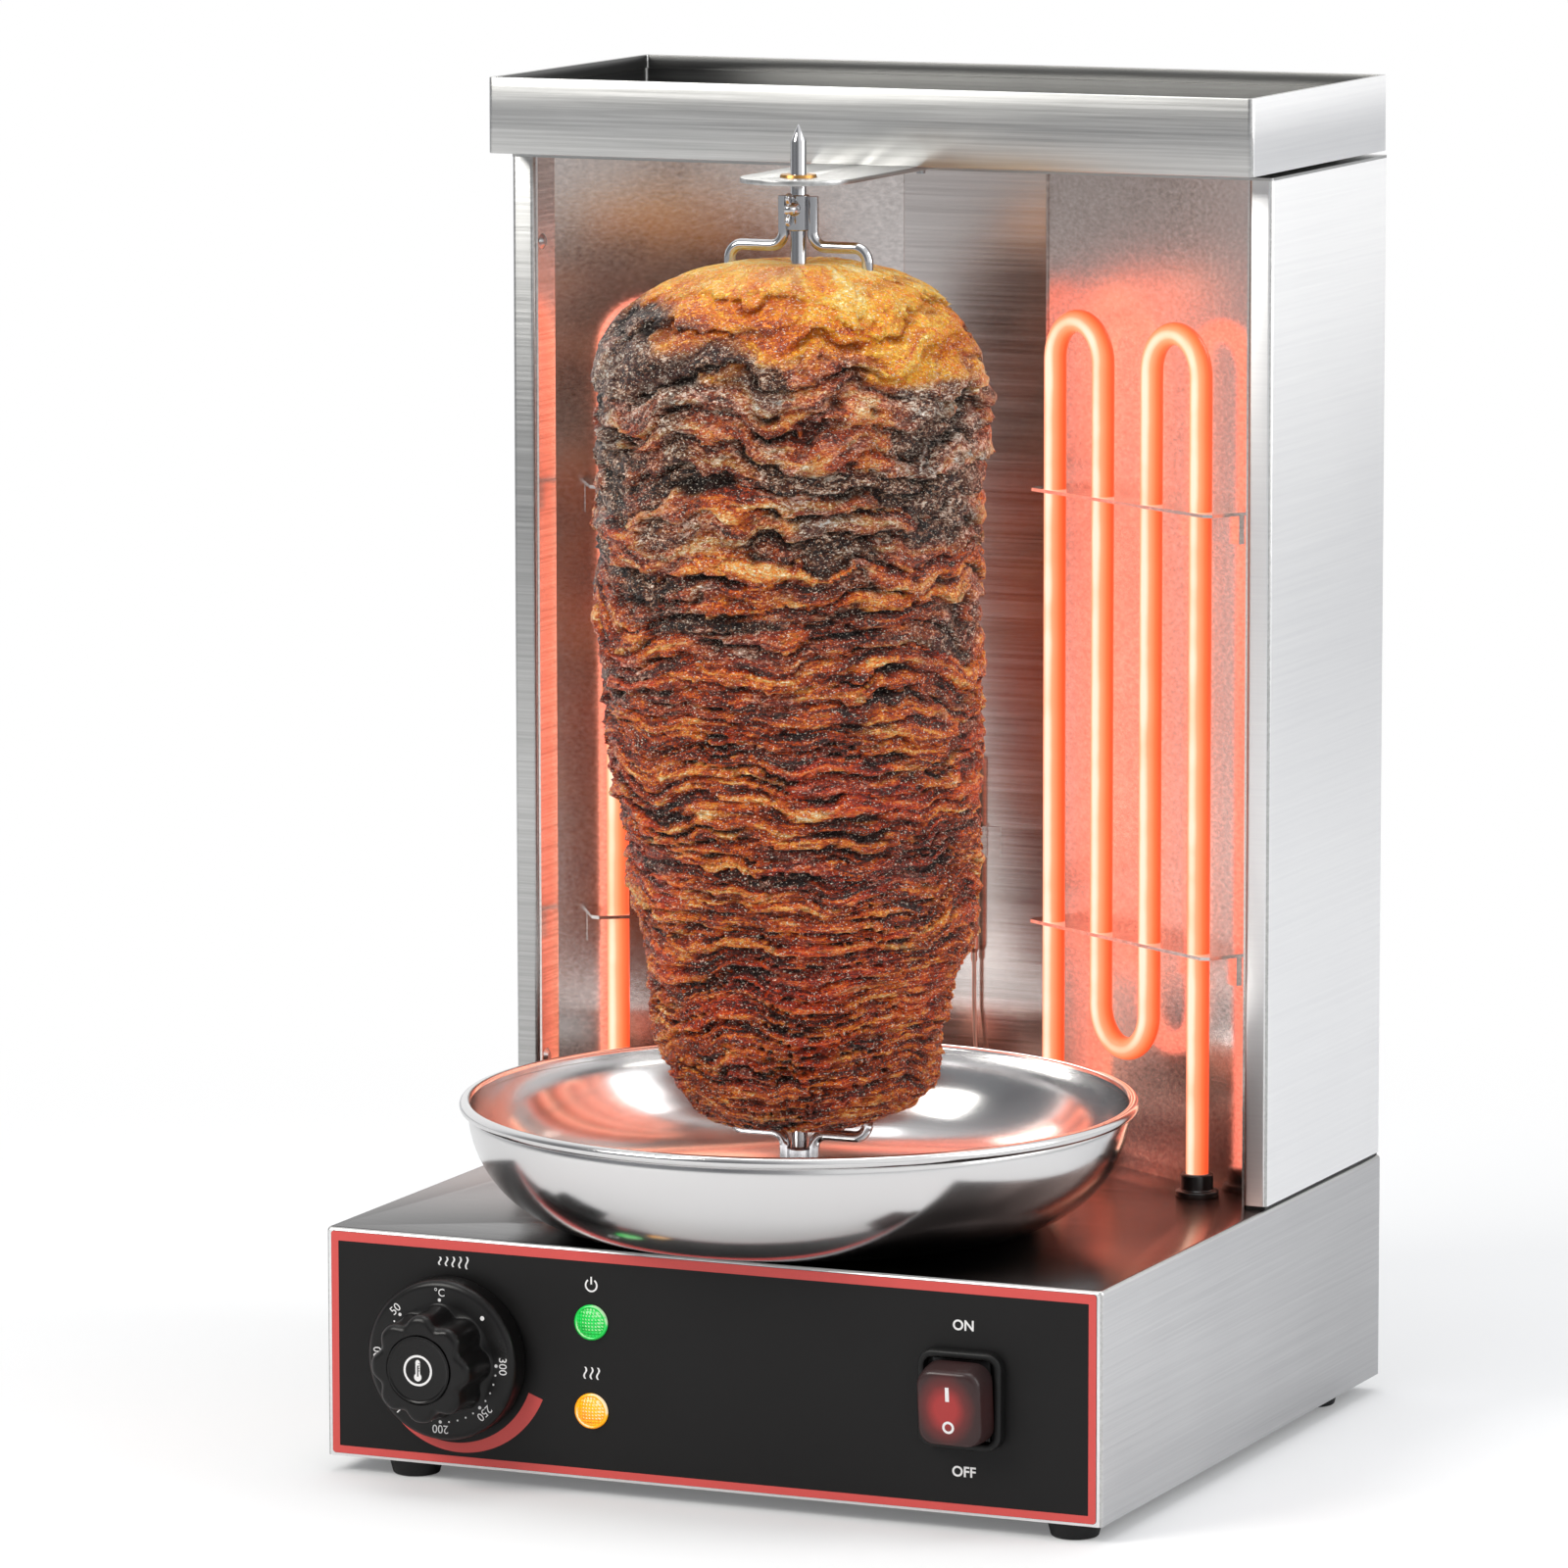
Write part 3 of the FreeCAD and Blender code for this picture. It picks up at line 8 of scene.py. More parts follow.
# %% Load the frame
import math
import bpy
import numpy as np
from mathutils import Matrix, Vector
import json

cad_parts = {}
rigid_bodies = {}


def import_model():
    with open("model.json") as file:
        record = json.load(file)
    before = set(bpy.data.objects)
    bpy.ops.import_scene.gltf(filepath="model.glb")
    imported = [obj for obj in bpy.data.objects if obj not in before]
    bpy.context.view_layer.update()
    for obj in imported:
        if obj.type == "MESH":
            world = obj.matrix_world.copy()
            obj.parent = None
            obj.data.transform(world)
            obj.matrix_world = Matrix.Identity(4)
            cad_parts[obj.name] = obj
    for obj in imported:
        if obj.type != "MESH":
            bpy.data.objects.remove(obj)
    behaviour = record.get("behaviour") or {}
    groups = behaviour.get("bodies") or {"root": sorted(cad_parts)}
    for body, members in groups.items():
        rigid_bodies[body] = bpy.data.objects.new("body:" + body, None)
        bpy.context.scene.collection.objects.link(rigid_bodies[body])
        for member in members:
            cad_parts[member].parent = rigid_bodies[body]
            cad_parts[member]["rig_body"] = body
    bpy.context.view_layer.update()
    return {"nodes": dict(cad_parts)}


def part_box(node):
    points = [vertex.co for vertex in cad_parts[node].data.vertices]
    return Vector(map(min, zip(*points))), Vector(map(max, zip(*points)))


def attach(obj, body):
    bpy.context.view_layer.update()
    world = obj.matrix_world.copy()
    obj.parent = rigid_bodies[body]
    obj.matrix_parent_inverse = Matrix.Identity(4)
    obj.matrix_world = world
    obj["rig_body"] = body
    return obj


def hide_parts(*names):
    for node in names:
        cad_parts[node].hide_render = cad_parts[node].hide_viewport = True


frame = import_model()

MM = 0.001

# %% [markdown]
# ## Camera
# The photograph was taken from a little above and from the right, with a long lens, so upright edges stay
# nearly parallel. A camera on a tripod 3.8 m away with a 210 mm lens shows the grill in the same way.

# %% Camera at the photograph's place
camera_place = Vector((1553.0, -3612.5, 863.6)) * MM
camera_target = Vector((35.83, -150.0, 312.45)) * MM
camera_roll = math.radians(-0.083)
camera_lens = 209.59

bpy.ops.object.camera_add(location=camera_place)
camera = bpy.context.object
camera.name = "photo_camera"
aim = (camera_target - camera_place).to_track_quat("-Z", "Y").to_matrix()
camera.rotation_euler = (aim @ Matrix.Rotation(camera_roll, 3, "Z")).to_euler()
camera.data.sensor_width = 36.0
camera.data.lens = camera_lens
camera.data.clip_end = 50.0
bpy.context.scene.camera = camera
bpy.context.scene.view_settings.view_transform = "Standard"
print("camera distance in m:", round((camera_target - camera_place).length, 2))

# %% [markdown]
# ## Colours and nodes
# A finish is easiest to keep in hand when its colours are written as a painter's hex values. Blender works
# with linear light, so one function turns hex into linear. A second small function adds a node, sets its
# plain values and links its sockets, which keeps every material readable as a list of what it does.

# %% One function for colours, one for nodes
def linear(hex_colour):
    """An sRGB hex colour as linear red, green, blue and alpha."""
    values = []
    for start in (0, 2, 4):
        share = int(hex_colour.lstrip("#")[start:start + 2], 16) / 255
        values.append(share / 12.92 if share <= 0.04045 else ((share + 0.055) / 1.055) ** 2.4)
    return (*values, 1.0)


def add(tree, kind, inputs=None, stops=None, **settings):
    """Adds one node. inputs names sockets by name or number and gives each a value or a socket to link."""
    node = tree.nodes.new("ShaderNode" + kind)
    for name, value in settings.items():
        setattr(node, name, value)
    for name, value in (inputs or {}).items():
        if isinstance(value, bpy.types.NodeSocket):
            tree.links.new(value, node.inputs[name])
        else:
            node.inputs[name].default_value = linear(value) if isinstance(value, str) else value
    if stops:
        ramp = node.color_ramp
        ramp.elements.remove(ramp.elements[1])
        for index, (place, colour) in enumerate(stops):
            element = ramp.elements[0] if index == 0 else ramp.elements.new(place)
            element.position = place
            element.color = linear(colour) if isinstance(colour, str) else (colour, colour, colour, 1.0)
    return node


def finish_of(name, **shader):
    """A new material with one Principled shader; returns the material, its node tree and the shader."""
    material = bpy.data.materials.new(name)
    material.use_nodes = True
    tree = material.node_tree
    surface = tree.nodes["Principled BSDF"]
    for socket, value in shader.items():
        value = linear(value) if isinstance(value, str) else value
        surface.inputs[socket.replace("_", " ")].default_value = value
    return material, tree, surface


print("red border colour, linear:", [round(v, 3) for v in linear("#D9534F")])

# %% [markdown]
# ## Studio
# Product pictures of bright steel are taken in a white tent with a few grey flags: without the flags the
# steel would look like white paper. The world stands for that tent. Rays that light the object see an even
# pale grey; the camera, and what is seen in metal or glass, sees the white tent and its soft grey side.

# %% World as a white tent with a grey side
world = bpy.data.worlds.new("studio_tent")
world.use_nodes = True
bpy.context.scene.world = world
tent = world.node_tree
tent.nodes.clear()
rays = add(tent, "LightPath")
seen = add(tent, "Math", {0: rays.outputs["Is Camera Ray"], 1: rays.outputs["Is Transmission Ray"]},
           operation="MAXIMUM")
direction = add(tent, "TexCoord")
flag_side = add(tent, "VectorMath", {0: direction.outputs["Generated"], 1: (-0.55, -0.83, 0.05)},
                operation="DOT_PRODUCT")
flag = add(tent, "ValToRGB", {"Fac": flag_side.outputs["Value"]},
           stops=[(0.0, "#FFFFFF"), (0.35, "#F2F3F4"), (0.62, "#9B9C9E"), (0.85, "#77787B"),
                  (1.0, "#8E9093")])
even = add(tent, "Background", {"Color": "#F4F6FA", "Strength": 0.62})
shown = add(tent, "Background", {"Color": flag.outputs["Color"], "Strength": 1.0})
white = add(tent, "Background", {"Color": "#FFFFFF", "Strength": 1.0})
mirrored_light = add(tent, "MixShader",
                     {0: rays.outputs["Is Glossy Ray"], 1: even.outputs[0], 2: shown.outputs[0]})
final_light = add(tent, "MixShader", {0: seen.outputs[0], 1: mirrored_light.outputs[0], 2: white.outputs[0]})
add(tent, "OutputWorld", {"Surface": final_light.outputs[0]})
print("world nodes:", len(tent.nodes))

# %% [markdown]
# The floor is a large white sheet. It has to be white where nothing shades it and still keep the grill's soft
# shadow, so it gets a white colour and just a little light of its own, only for the camera. Further out it
# fades to plain white, which hides the line where floor and tent meet.

# %% Floor
def alone():
    """Leaves edit mode and deselects all, because an operator acts on everything that is selected."""
    if bpy.context.object and bpy.context.object.mode != "OBJECT":
        bpy.ops.object.mode_set(mode="OBJECT")
    bpy.ops.object.select_all(action="DESELECT")


alone()
bpy.ops.mesh.primitive_plane_add(size=40.0, location=(0, 0, -0.0002))
floor = bpy.context.object
floor.name = "floor"
shadow_reach, white_reach = 0.36, 1.1
paper, tree, surface = finish_of("white_paper", Base_Color="#E0E0E0", Roughness=0.9, Specular_IOR_Level=0.1)
rays = add(tree, "LightPath")
glow = add(tree, "Math", {0: rays.outputs["Is Camera Ray"], 1: 0.15}, operation="MULTIPLY")
surface.inputs["Emission Color"].default_value = (1, 1, 1, 1)
tree.links.new(glow.outputs[0], surface.inputs["Emission Strength"])
reach = add(tree, "VectorMath", {0: add(tree, "TexCoord").outputs["Object"]}, operation="LENGTH")
far = add(tree, "MapRange", {0: reach.outputs["Value"], 1: shadow_reach, 2: white_reach, 3: 0.0, 4: 1.0},
          interpolation_type="SMOOTHSTEP")
far_seen = add(tree, "Math", {0: far.outputs[0], 1: rays.outputs["Is Camera Ray"]}, operation="MULTIPLY")
open_white = add(tree, "Emission", {"Color": "#FFFFFF", "Strength": 1.0})
both = add(tree, "MixShader", {0: far_seen.outputs[0], 1: surface.outputs[0], 2: open_white.outputs[0]})
tree.links.new(both.outputs[0], tree.nodes["Material Output"].inputs["Surface"])
floor.data.materials.append(paper)
print("floor size in m:", tuple(round(v, 1) for v in floor.dimensions[:2]))


# %% Lamps
def soft_box(name, place, target, width, height, watts, colour="#FFFFFF"):
    """A rectangular lamp at a place in mm, turned to a target in mm."""
    bpy.ops.object.light_add(type="AREA", location=Vector(place) * MM)
    lamp = bpy.context.object
    lamp.name = name
    lamp.data.shape = "RECTANGLE"
    lamp.data.size = width * MM
    lamp.data.size_y = height * MM
    lamp.data.energy = watts
    lamp.data.color = linear(colour)[:3]
    lamp.rotation_euler = (Vector(target) - Vector(place)).to_track_quat("-Z", "Y").to_euler()
    lamp.visible_camera = False
    return lamp


soft_box("key_lamp", (-1300, -1900, 1900), (0, 0, 300), 1200, 1200, 46, "#FFFDF8")
soft_box("side_lamp", (2200, 300, 1300), (0, 0, 300), 1500, 1800, 22)
soft_box("top_lamp", (0, 200, 2400), (0, 0, 0), 1600, 1600, 18)

# %% [markdown]
# ## Stainless steel
# The housing is 1.2 mm stainless sheet with a brushed finish. Belts of abrasive leave scratches that are long
# along the brushing and a few hundredths of a millimetre wide across it. That is far too fine to show in a
# picture of the whole grill, so the streaks here are drawn about 1.5 mm wide and 150 mm long. They change the
# colour and roughness a little and tilt the surface, so that reflections spread across the brushing.

# %% Brushed stainless, with streaks that stay level on every wall
def brushed(name, colour, dark, rough, streak=0.05, bump=0.06, metallic=1.0):
    """Brushed steel: streaks run along X, and along Y on walls that face sideways."""
    material, tree, surface = finish_of(name, Metallic=metallic, Roughness=rough)
    place = add(tree, "TexCoord")
    facing = add(tree, "SeparateXYZ", {0: add(tree, "NewGeometry").outputs["Normal"]})
    sideways = add(tree, "Math", {0: facing.outputs["X"]}, operation="ABSOLUTE")
    is_side = add(tree, "Math", {0: sideways.outputs[0], 1: 0.7}, operation="GREATER_THAN")
    along_x = add(tree, "Mapping", {"Vector": place.outputs["Object"], "Scale": (6.6, 660.0, 660.0)})
    along_y = add(tree, "Mapping", {"Vector": place.outputs["Object"], "Scale": (660.0, 6.6, 660.0)})
    lines = add(tree, "Mix", {0: is_side.outputs[0], 4: along_x.outputs[0], 5: along_y.outputs[0]},
                data_type="VECTOR")
    scratch = add(tree, "TexNoise",
                  {"Vector": lines.outputs[1], "Scale": 1.0, "Detail": 4.0, "Roughness": 0.7})
    broad = add(tree, "TexNoise", {"Vector": place.outputs["Object"], "Scale": 7.0, "Detail": 2.0})
    blend = add(tree, "Mix", {0: 0.35, 2: scratch.outputs["Fac"], 3: broad.outputs["Fac"]}, data_type="FLOAT")
    tone = add(tree, "ValToRGB", {"Fac": blend.outputs[0]}, stops=[(0.30, dark), (0.66, colour)])
    tree.links.new(tone.outputs["Color"], surface.inputs["Base Color"])
    gloss = add(tree, "MapRange",
                {0: scratch.outputs["Fac"], 1: 0.2, 2: 0.8, 3: rough - streak, 4: rough + streak})
    tree.links.new(gloss.outputs[0], surface.inputs["Roughness"])
    relief = add(tree, "Bump", {"Height": scratch.outputs["Fac"], "Strength": bump, "Distance": 0.0004})
    tree.links.new(relief.outputs[0], surface.inputs["Normal"])
    return material


stainless = brushed("brushed_stainless_304", "#D0D0CF", "#A2A2A1", 0.32)
# Lit and shaded copies of the same stainless: a painted highlight for the outer sides and front edges,
# painted shade for the base's side and the tray's inside, and a painted reflection on the deck.
painted_highlight_steel = brushed("brushed_stainless_sides_painted_highlight", "#FFFFFF", "#F6F6F7", 0.38, 0.02, 0.015)
painted_shade_base_side_steel = brushed("brushed_stainless_base_side_painted_shade", "#D6D6D7", "#C0C0C2", 0.38, 0.03, 0.025)
painted_shade_tray_steel = brushed("brushed_stainless_tray_inside_painted_shade", "#747473", "#5A5A5A", 0.34, 0.03, 0.03)
painted_reflection_deck_steel = brushed("brushed_stainless_deck_painted_reflection", "#FFFFFF", "#B9B4B2", 0.24)
mirror_steel = brushed("bright_reflector_stainless", "#F6EFEB", "#C4B9B4", 0.2, 0.05, 0.05)
galvanised = brushed("galvanised_sheet", "#B4B7B9", "#909497", 0.45)

# Painted reflection on the deck: dark brown in front and paler pink behind, for the warm chamber and the
# glowing heaters that the deck reflects at a low angle.
tree = painted_reflection_deck_steel.node_tree
steel_tone = tree.nodes["Principled BSDF"].inputs["Base Color"].links[0].from_socket
depth = add(tree, "SeparateXYZ", {0: add(tree, "TexCoord").outputs["Object"]})
backward = add(tree, "MapRange", {0: depth.outputs["Y"], 1: -0.13, 2: 0.03, 3: 0.0, 4: 1.0},
               interpolation_type="SMOOTHSTEP")
painted_reflection_tint = add(tree, "Mix", {0: backward.outputs[0], 6: "#2B2726", 7: "#B49C95"}, data_type="RGBA")
deck_with_painted_reflection = add(tree, "Mix", {0: 1.0, 6: painted_reflection_tint.outputs[2], 7: steel_tone}, data_type="RGBA",
             blend_type="MULTIPLY")
tree.links.new(deck_with_painted_reflection.outputs[2], tree.nodes["Principled BSDF"].inputs["Base Color"])
print("steels:", stainless.name, painted_highlight_steel.name, painted_reflection_deck_steel.name, mirror_steel.name, galvanised.name)

# %% [markdown]
# ## Softer edges on folded sheet
# A fold in real sheet is never knife-sharp: it has a small radius that catches a line of light. The CAD nodes
# must not be touched, so each housing piece is a copy of its CAD node: its loose triangles are merged, flat
# areas are joined into single faces, and a narrow bevel rounds what is left of the sharp edges.

# %% Copy of a CAD node with rounded edges
def softened(node, edge, material, segments=2):
    """A copy of a CAD node whose edges over 40 degrees are rounded by edge mm; it replaces the node."""
    alone()
    source = frame["nodes"][node]
    source.select_set(True)
    bpy.context.view_layer.objects.active = source
    bpy.ops.object.duplicate()
    piece = bpy.context.object
    piece.name = node + "_finished"
    piece.parent = None
    for key in list(piece.keys()):
        del piece[key]
    bpy.ops.mesh.customdata_custom_splitnormals_clear()
    bpy.ops.object.mode_set(mode="EDIT")
    bpy.ops.mesh.select_all(action="SELECT")
    bpy.ops.mesh.remove_doubles(threshold=2e-6)
    bpy.ops.mesh.dissolve_limited(angle_limit=math.radians(0.5))
    bpy.ops.object.mode_set(mode="OBJECT")
    bevel = piece.modifiers.new("rounded", "BEVEL")
    bevel.width = edge * MM
    bevel.segments = segments
    bevel.limit_method = "ANGLE"
    bevel.angle_limit = math.radians(40)
    bpy.ops.object.modifier_apply(modifier=bevel.name)
    bpy.ops.object.shade_smooth_by_angle(angle=math.radians(35))
    piece.data.materials.clear()
    piece.data.materials.append(material)
    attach(piece, source["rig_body"])
    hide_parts(node)
    return piece


housing = [softened(node, 0.35, stainless)
           for node in ("base_shell", "side_panel_left", "side_panel_right", "top_tray", "bearing_plate",
                        "base_rear")]
print("housing faces:", {piece.name: len(piece.data.polygons) for piece in housing})

# %% [markdown]
# The sheets were brushed before they were folded, and each side meets the light at its own angle. The deck
# looks much darker in the photograph than the sides, because it reflects the warm chamber at a low angle, and
# the tray's inside lies in its own shade. The outer sides are nearly white. So faces are picked by the way
# they point and where they lie, and get darker or paler copies of the brushed finish: a painted reflection
# on the deck, painted shade on the base's side and inside the tray, and a painted highlight on the outer
# sides and the front edges.

# %% Painted reflection, shade and highlight on faces
def paint_faces(piece, material, test):
    """Gives a second material to the faces of a piece whose centre and normal pass a test."""
    piece.data.materials.append(material)
    index = len(piece.data.materials) - 1
    count = 0
    for face in piece.data.polygons:
        if test(face.center / MM, face.normal):
            face.material_index = index
            count += 1
    return count


deck_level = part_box("base_shell")[1].z / MM
outer_side, front_plane, right_flange, tray_back = 170, -148, 120, 100
print("deck faces:", paint_faces(housing[0], painted_reflection_deck_steel, lambda c, n: n.z > 0.9 and c.z > deck_level - 0.5))
print("base side faces:",
      paint_faces(housing[0], painted_shade_base_side_steel, lambda c, n: n.x > 0.9 and c.x > outer_side))
for piece in housing[1:4]:
    print("side faces of", piece.name,
          paint_faces(piece, painted_highlight_steel, lambda c, n: n.x > 0.9 and c.x > outer_side))
# Painted highlight on the front edges of the base and of the right flange.
print("front edges:", paint_faces(housing[0], painted_highlight_steel, lambda c, n: n.y < -0.9 and c.y < front_plane),
      paint_faces(housing[2], painted_highlight_steel, lambda c, n: n.y < -0.9 and c.x > right_flange))
# Painted shade on the tray's inside walls.
print("tray inside:", paint_faces(housing[3], painted_shade_tray_steel, lambda c, n: (n.y < -0.9 and c.y > tray_back)
                                  or (n.x > 0.9 and c.x < 0)))

# %% [markdown]
# ## Round pieces by spinning
# Everything that was turned on a lathe or spun from sheet can be made as a lathe makes it: draw half of its
# section as a line of edges, then spin that line round the axis. The helper extrudes one point along the
# section and spins it, merges the seam and the poles, and turns all faces outwards.

# %% Lathe
def lathe(name, section, centre, steps=96, axis=(0, 0, 1)):
    """A round piece from (radius, height) points in mm, turned about an axis through centre."""
    alone()
    bpy.ops.mesh.primitive_plane_add(size=MM)
    piece = bpy.context.object
    piece.name = name
    bpy.ops.object.mode_set(mode="EDIT")
    bpy.ops.mesh.merge(type="CENTER")
    bpy.ops.transform.translate(value=(section[0][0] * MM, 0, section[0][1] * MM))
    for (x0, z0), (x1, z1) in zip(section, section[1:]):
        bpy.ops.mesh.extrude_region_move(
            TRANSFORM_OT_translate={"value": ((x1 - x0) * MM, 0, (z1 - z0) * MM)})
    bpy.ops.mesh.select_all(action="SELECT")
    bpy.ops.mesh.spin(steps=steps, angle=2 * math.pi, center=(0, 0, 0), axis=(0, 0, 1))
    bpy.ops.mesh.select_all(action="SELECT")
    bpy.ops.mesh.remove_doubles(threshold=1e-6)
    bpy.ops.mesh.normals_make_consistent(inside=False)
    bpy.ops.object.mode_set(mode="OBJECT")
    piece.matrix_world = (Matrix.Translation(Vector(centre) * MM)
                          @ Vector(axis).to_track_quat("Z", "Y").to_matrix().to_4x4())
    bpy.ops.object.transform_apply(location=True, rotation=True, scale=True)
    bpy.ops.object.shade_smooth_by_angle(angle=math.radians(35))
    return piece


def arc(centre, radius, start, end, count):
    """Points of an arc in a section, angles in degrees."""
    angles = np.radians(np.linspace(start, end, count))
    return [(centre[0] + radius * math.cos(a), centre[1] + radius * math.sin(a)) for a in angles]


def dressed(piece, material, body, slot, *nodes):
    """Gives a finished piece its material and its body, and hides the CAD nodes it replaces; slot is not
    used.
    """
    piece.data.materials.clear()
    piece.data.materials.append(material)
    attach(piece, body)
    if nodes:
        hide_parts(*nodes)
    return piece


spit_y = -52.0
deck = 107.5
print("lathe ready, spit axis at y", spit_y, "and deck at z", deck)

# %% [markdown]
# ## Drip pan
# The pan is spun from a stainless disc over a form, its rim is rolled into a bead and the inside is polished
# to a mirror. Spinning leaves the faintest rings, and polishing leaves a haze of fine arcs, both along the
# circle.

# %% Pan, spun as one sheet with a rolled rim
pan_floor_reach, pan_bulge, pan_rim = 96.0, (129.18, 15.27), (143.4, 50.9)
pan_collar_reach, pan_collar_height, rim_bead = 24.0, 10.0, 2.6


def pan_wall(shift):
    """Wall points from the bend at the floor to the rim: the outside for shift 0, the inside for shift 1."""
    slant = 0.7 * shift
    a, b, c = [(pan_floor_reach, shift), (pan_bulge[0] - slant, pan_bulge[1] + slant),
               (pan_rim[0] - shift, pan_rim[1])]
    d = 2 * (a[0] * (b[1] - c[1]) + b[0] * (c[1] - a[1]) + c[0] * (a[1] - b[1]))
    square = [p[0] ** 2 + p[1] ** 2 for p in (a, b, c)]
    ux = (square[0] * (b[1] - c[1]) + square[1] * (c[1] - a[1]) + square[2] * (a[1] - b[1])) / d
    uy = (square[0] * (c[0] - b[0]) + square[1] * (a[0] - c[0]) + square[2] * (b[0] - a[0])) / d
    radius = math.hypot(a[0] - ux, a[1] - uy)
    start = math.degrees(math.atan2(a[1] - uy, a[0] - ux))
    end = math.degrees(math.atan2(c[1] - uy, c[0] - ux))
    wall = arc((ux, uy), radius, start, end, 22)
    (x3, z3), (x4, z4), (x5, z5) = wall[3], wall[4], wall[5]
    corner = x4 + (x5 - x3) * (shift - z4) / (z5 - z3)
    reach = math.hypot(x4 - corner, z4 - shift)
    bend = []
    for share in np.linspace(0, 1, 8):
        before, middle, after = (1 - share) ** 2, 2 * share * (1 - share), share ** 2
        bend.append((before * (corner - reach) + middle * corner + after * x4,
                     (before + middle) * shift + after * z4))
    return bend + wall[5:]


outside = pan_wall(0)
inside = pan_wall(1)
pan_section = ([(pan_collar_reach, pan_collar_height), (pan_collar_reach, 0.8)]
               + arc((24.8, 0.8), 0.8, 180, 270, 4)[1:] + [(60.0, 0.0)] + outside[:-1]
               + arc((144.4, pan_rim[1]), rim_bead, -155, 158, 18)
               + inside[::-1][1:]
               + [(60.0, 1.0), (26.5, 1.0), (25.4, 1.5), (25.0, 2.6), (25.0, pan_collar_height),
                  (pan_collar_reach, pan_collar_height)])
pan = lathe("drip_pan_polished", pan_section, (0, spit_y, deck), steps=160)
print("pan size in mm:", [round(v / MM, 1) for v in pan.dimensions], "faces", len(pan.data.polygons))


# %% Mirror polish with faint rings
def polished(name, colour, rough, rings=None, haze=0.03):
    """Mirror-polished steel; rings gives the plan centre of polishing rings in mm, if it was turned."""
    material, tree, surface = finish_of(name, Base_Color=colour, Metallic=1.0, Roughness=rough)
    place = add(tree, "TexCoord")
    cloud = add(tree, "TexNoise", {"Vector": place.outputs["Object"], "Scale": 55.0, "Detail": 5.0})
    gloss = add(tree, "MapRange", {0: cloud.outputs["Fac"], 1: 0.3, 2: 0.75, 3: rough, 4: rough + haze})
    if rings:
        centred = add(tree, "Mapping", {"Vector": place.outputs["Object"],
                                        "Location": (-rings[0] * MM, -rings[1] * MM, 0.0)})
        spread = add(tree, "SeparateXYZ", {0: centred.outputs[0]})
        flat = add(tree, "CombineXYZ", {"X": spread.outputs["X"], "Y": spread.outputs["Y"]})
        reach = add(tree, "VectorMath", {0: flat.outputs[0]}, operation="LENGTH")
        ring = add(tree, "TexNoise", {"W": reach.outputs["Value"], "Scale": 900.0, "Detail": 3.0},
                   noise_dimensions="1D")
        relief = add(tree, "Bump", {"Height": ring.outputs["Fac"], "Strength": 0.05, "Distance": 0.0002})
        tree.links.new(relief.outputs[0], surface.inputs["Normal"])
    tree.links.new(gloss.outputs[0], surface.inputs["Roughness"])
    return material


pan_polish = polished("mirror_polished_stainless", "#DEDDDD", 0.15, rings=(0.0, spit_y))
spit_polish = polished("polished_round_bar", "#C9C9CB", 0.12)
dressed(pan, pan_polish, "pan", "mirror_pan", "drip_pan")

# %% [markdown]
# ## Tubes and rods along a line
# A bent tube is easiest as a line that is given a thickness. The line is a run of straight parts with a true
# arc at each corner, as a bending machine makes it, and Blender's curve bevel turns it into a tube.

# %% Tube along rounded corners
def rounded_path(corners, bend, count=14):
    """Points along straight runs with an arc of radius bend at each inner corner, in mm."""
    corners = [Vector(corner) for corner in corners]
    path = [corners[0]]
    for before, corner, after in zip(corners, corners[1:], corners[2:]):
        into = (corner - before).normalized()
        out = (after - corner).normalized()
        turn = into.angle(out)
        reach = bend * math.tan(turn / 2)
        centre = corner + (out - into).normalized() * (bend / math.cos(turn / 2))
        start = corner - into * reach - centre
        axle = into.cross(out).normalized()
        for index in range(count + 1):
            path.append(centre + Matrix.Rotation(turn * index / count, 3, axle) @ start)
    path.append(corners[-1])
    return path


def tube(name, path, radius, around=8, tips=None):
    """A round tube or rod of one radius in mm along points in mm, with closed ends."""
    alone()
    bpy.ops.curve.primitive_bezier_curve_add()
    line = bpy.context.object
    line.name = name
    line.data.splines.clear()
    spline = line.data.splines.new("POLY")
    spline.points.add(len(path) - 1)
    for index, (point, place) in enumerate(zip(spline.points, path)):
        point.co = (*(Vector(place) * MM), 1.0)
        point.radius = tips.get(index, tips.get(index - len(path), 1.0)) if tips else 1.0
    line.data.dimensions = "3D"
    line.data.bevel_depth = radius * MM
    line.data.bevel_resolution = around
    line.data.use_fill_caps = True
    bpy.ops.object.convert(target="MESH")
    piece = bpy.context.object
    bpy.ops.object.mode_set(mode="EDIT")
    bpy.ops.mesh.select_all(action="SELECT")
    bpy.ops.mesh.remove_doubles(threshold=1e-6)
    bpy.ops.mesh.normals_make_consistent(inside=False)
    bpy.ops.object.mode_set(mode="OBJECT")
    bpy.ops.object.shade_smooth_by_angle(angle=math.radians(50))
    return piece


def joined(name, pieces):
    """Joins pieces into the first one."""
    alone()
    for piece in pieces:
        piece.select_set(True)
    bpy.context.view_layer.objects.active = pieces[0]
    bpy.ops.object.join()
    pieces[0].name = name
    return pieces[0]


print("a bend of 18 mm has", len(rounded_path([(0, 0, 0), (0, 0, 50), (50, 0, 50)], 18)), "points")

# %% [markdown]
# ## Heaters
# Each heater is a 10 mm steel-sheathed tube wound up and down four times in front of a slanted reflector.
# When it is on, the sheath glows orange. A nearly white line on the side that faces the front and a little
# to the left is a painted highlight, and in reflections and the light the tubes cast the glow is painted
# paler pink and stronger.

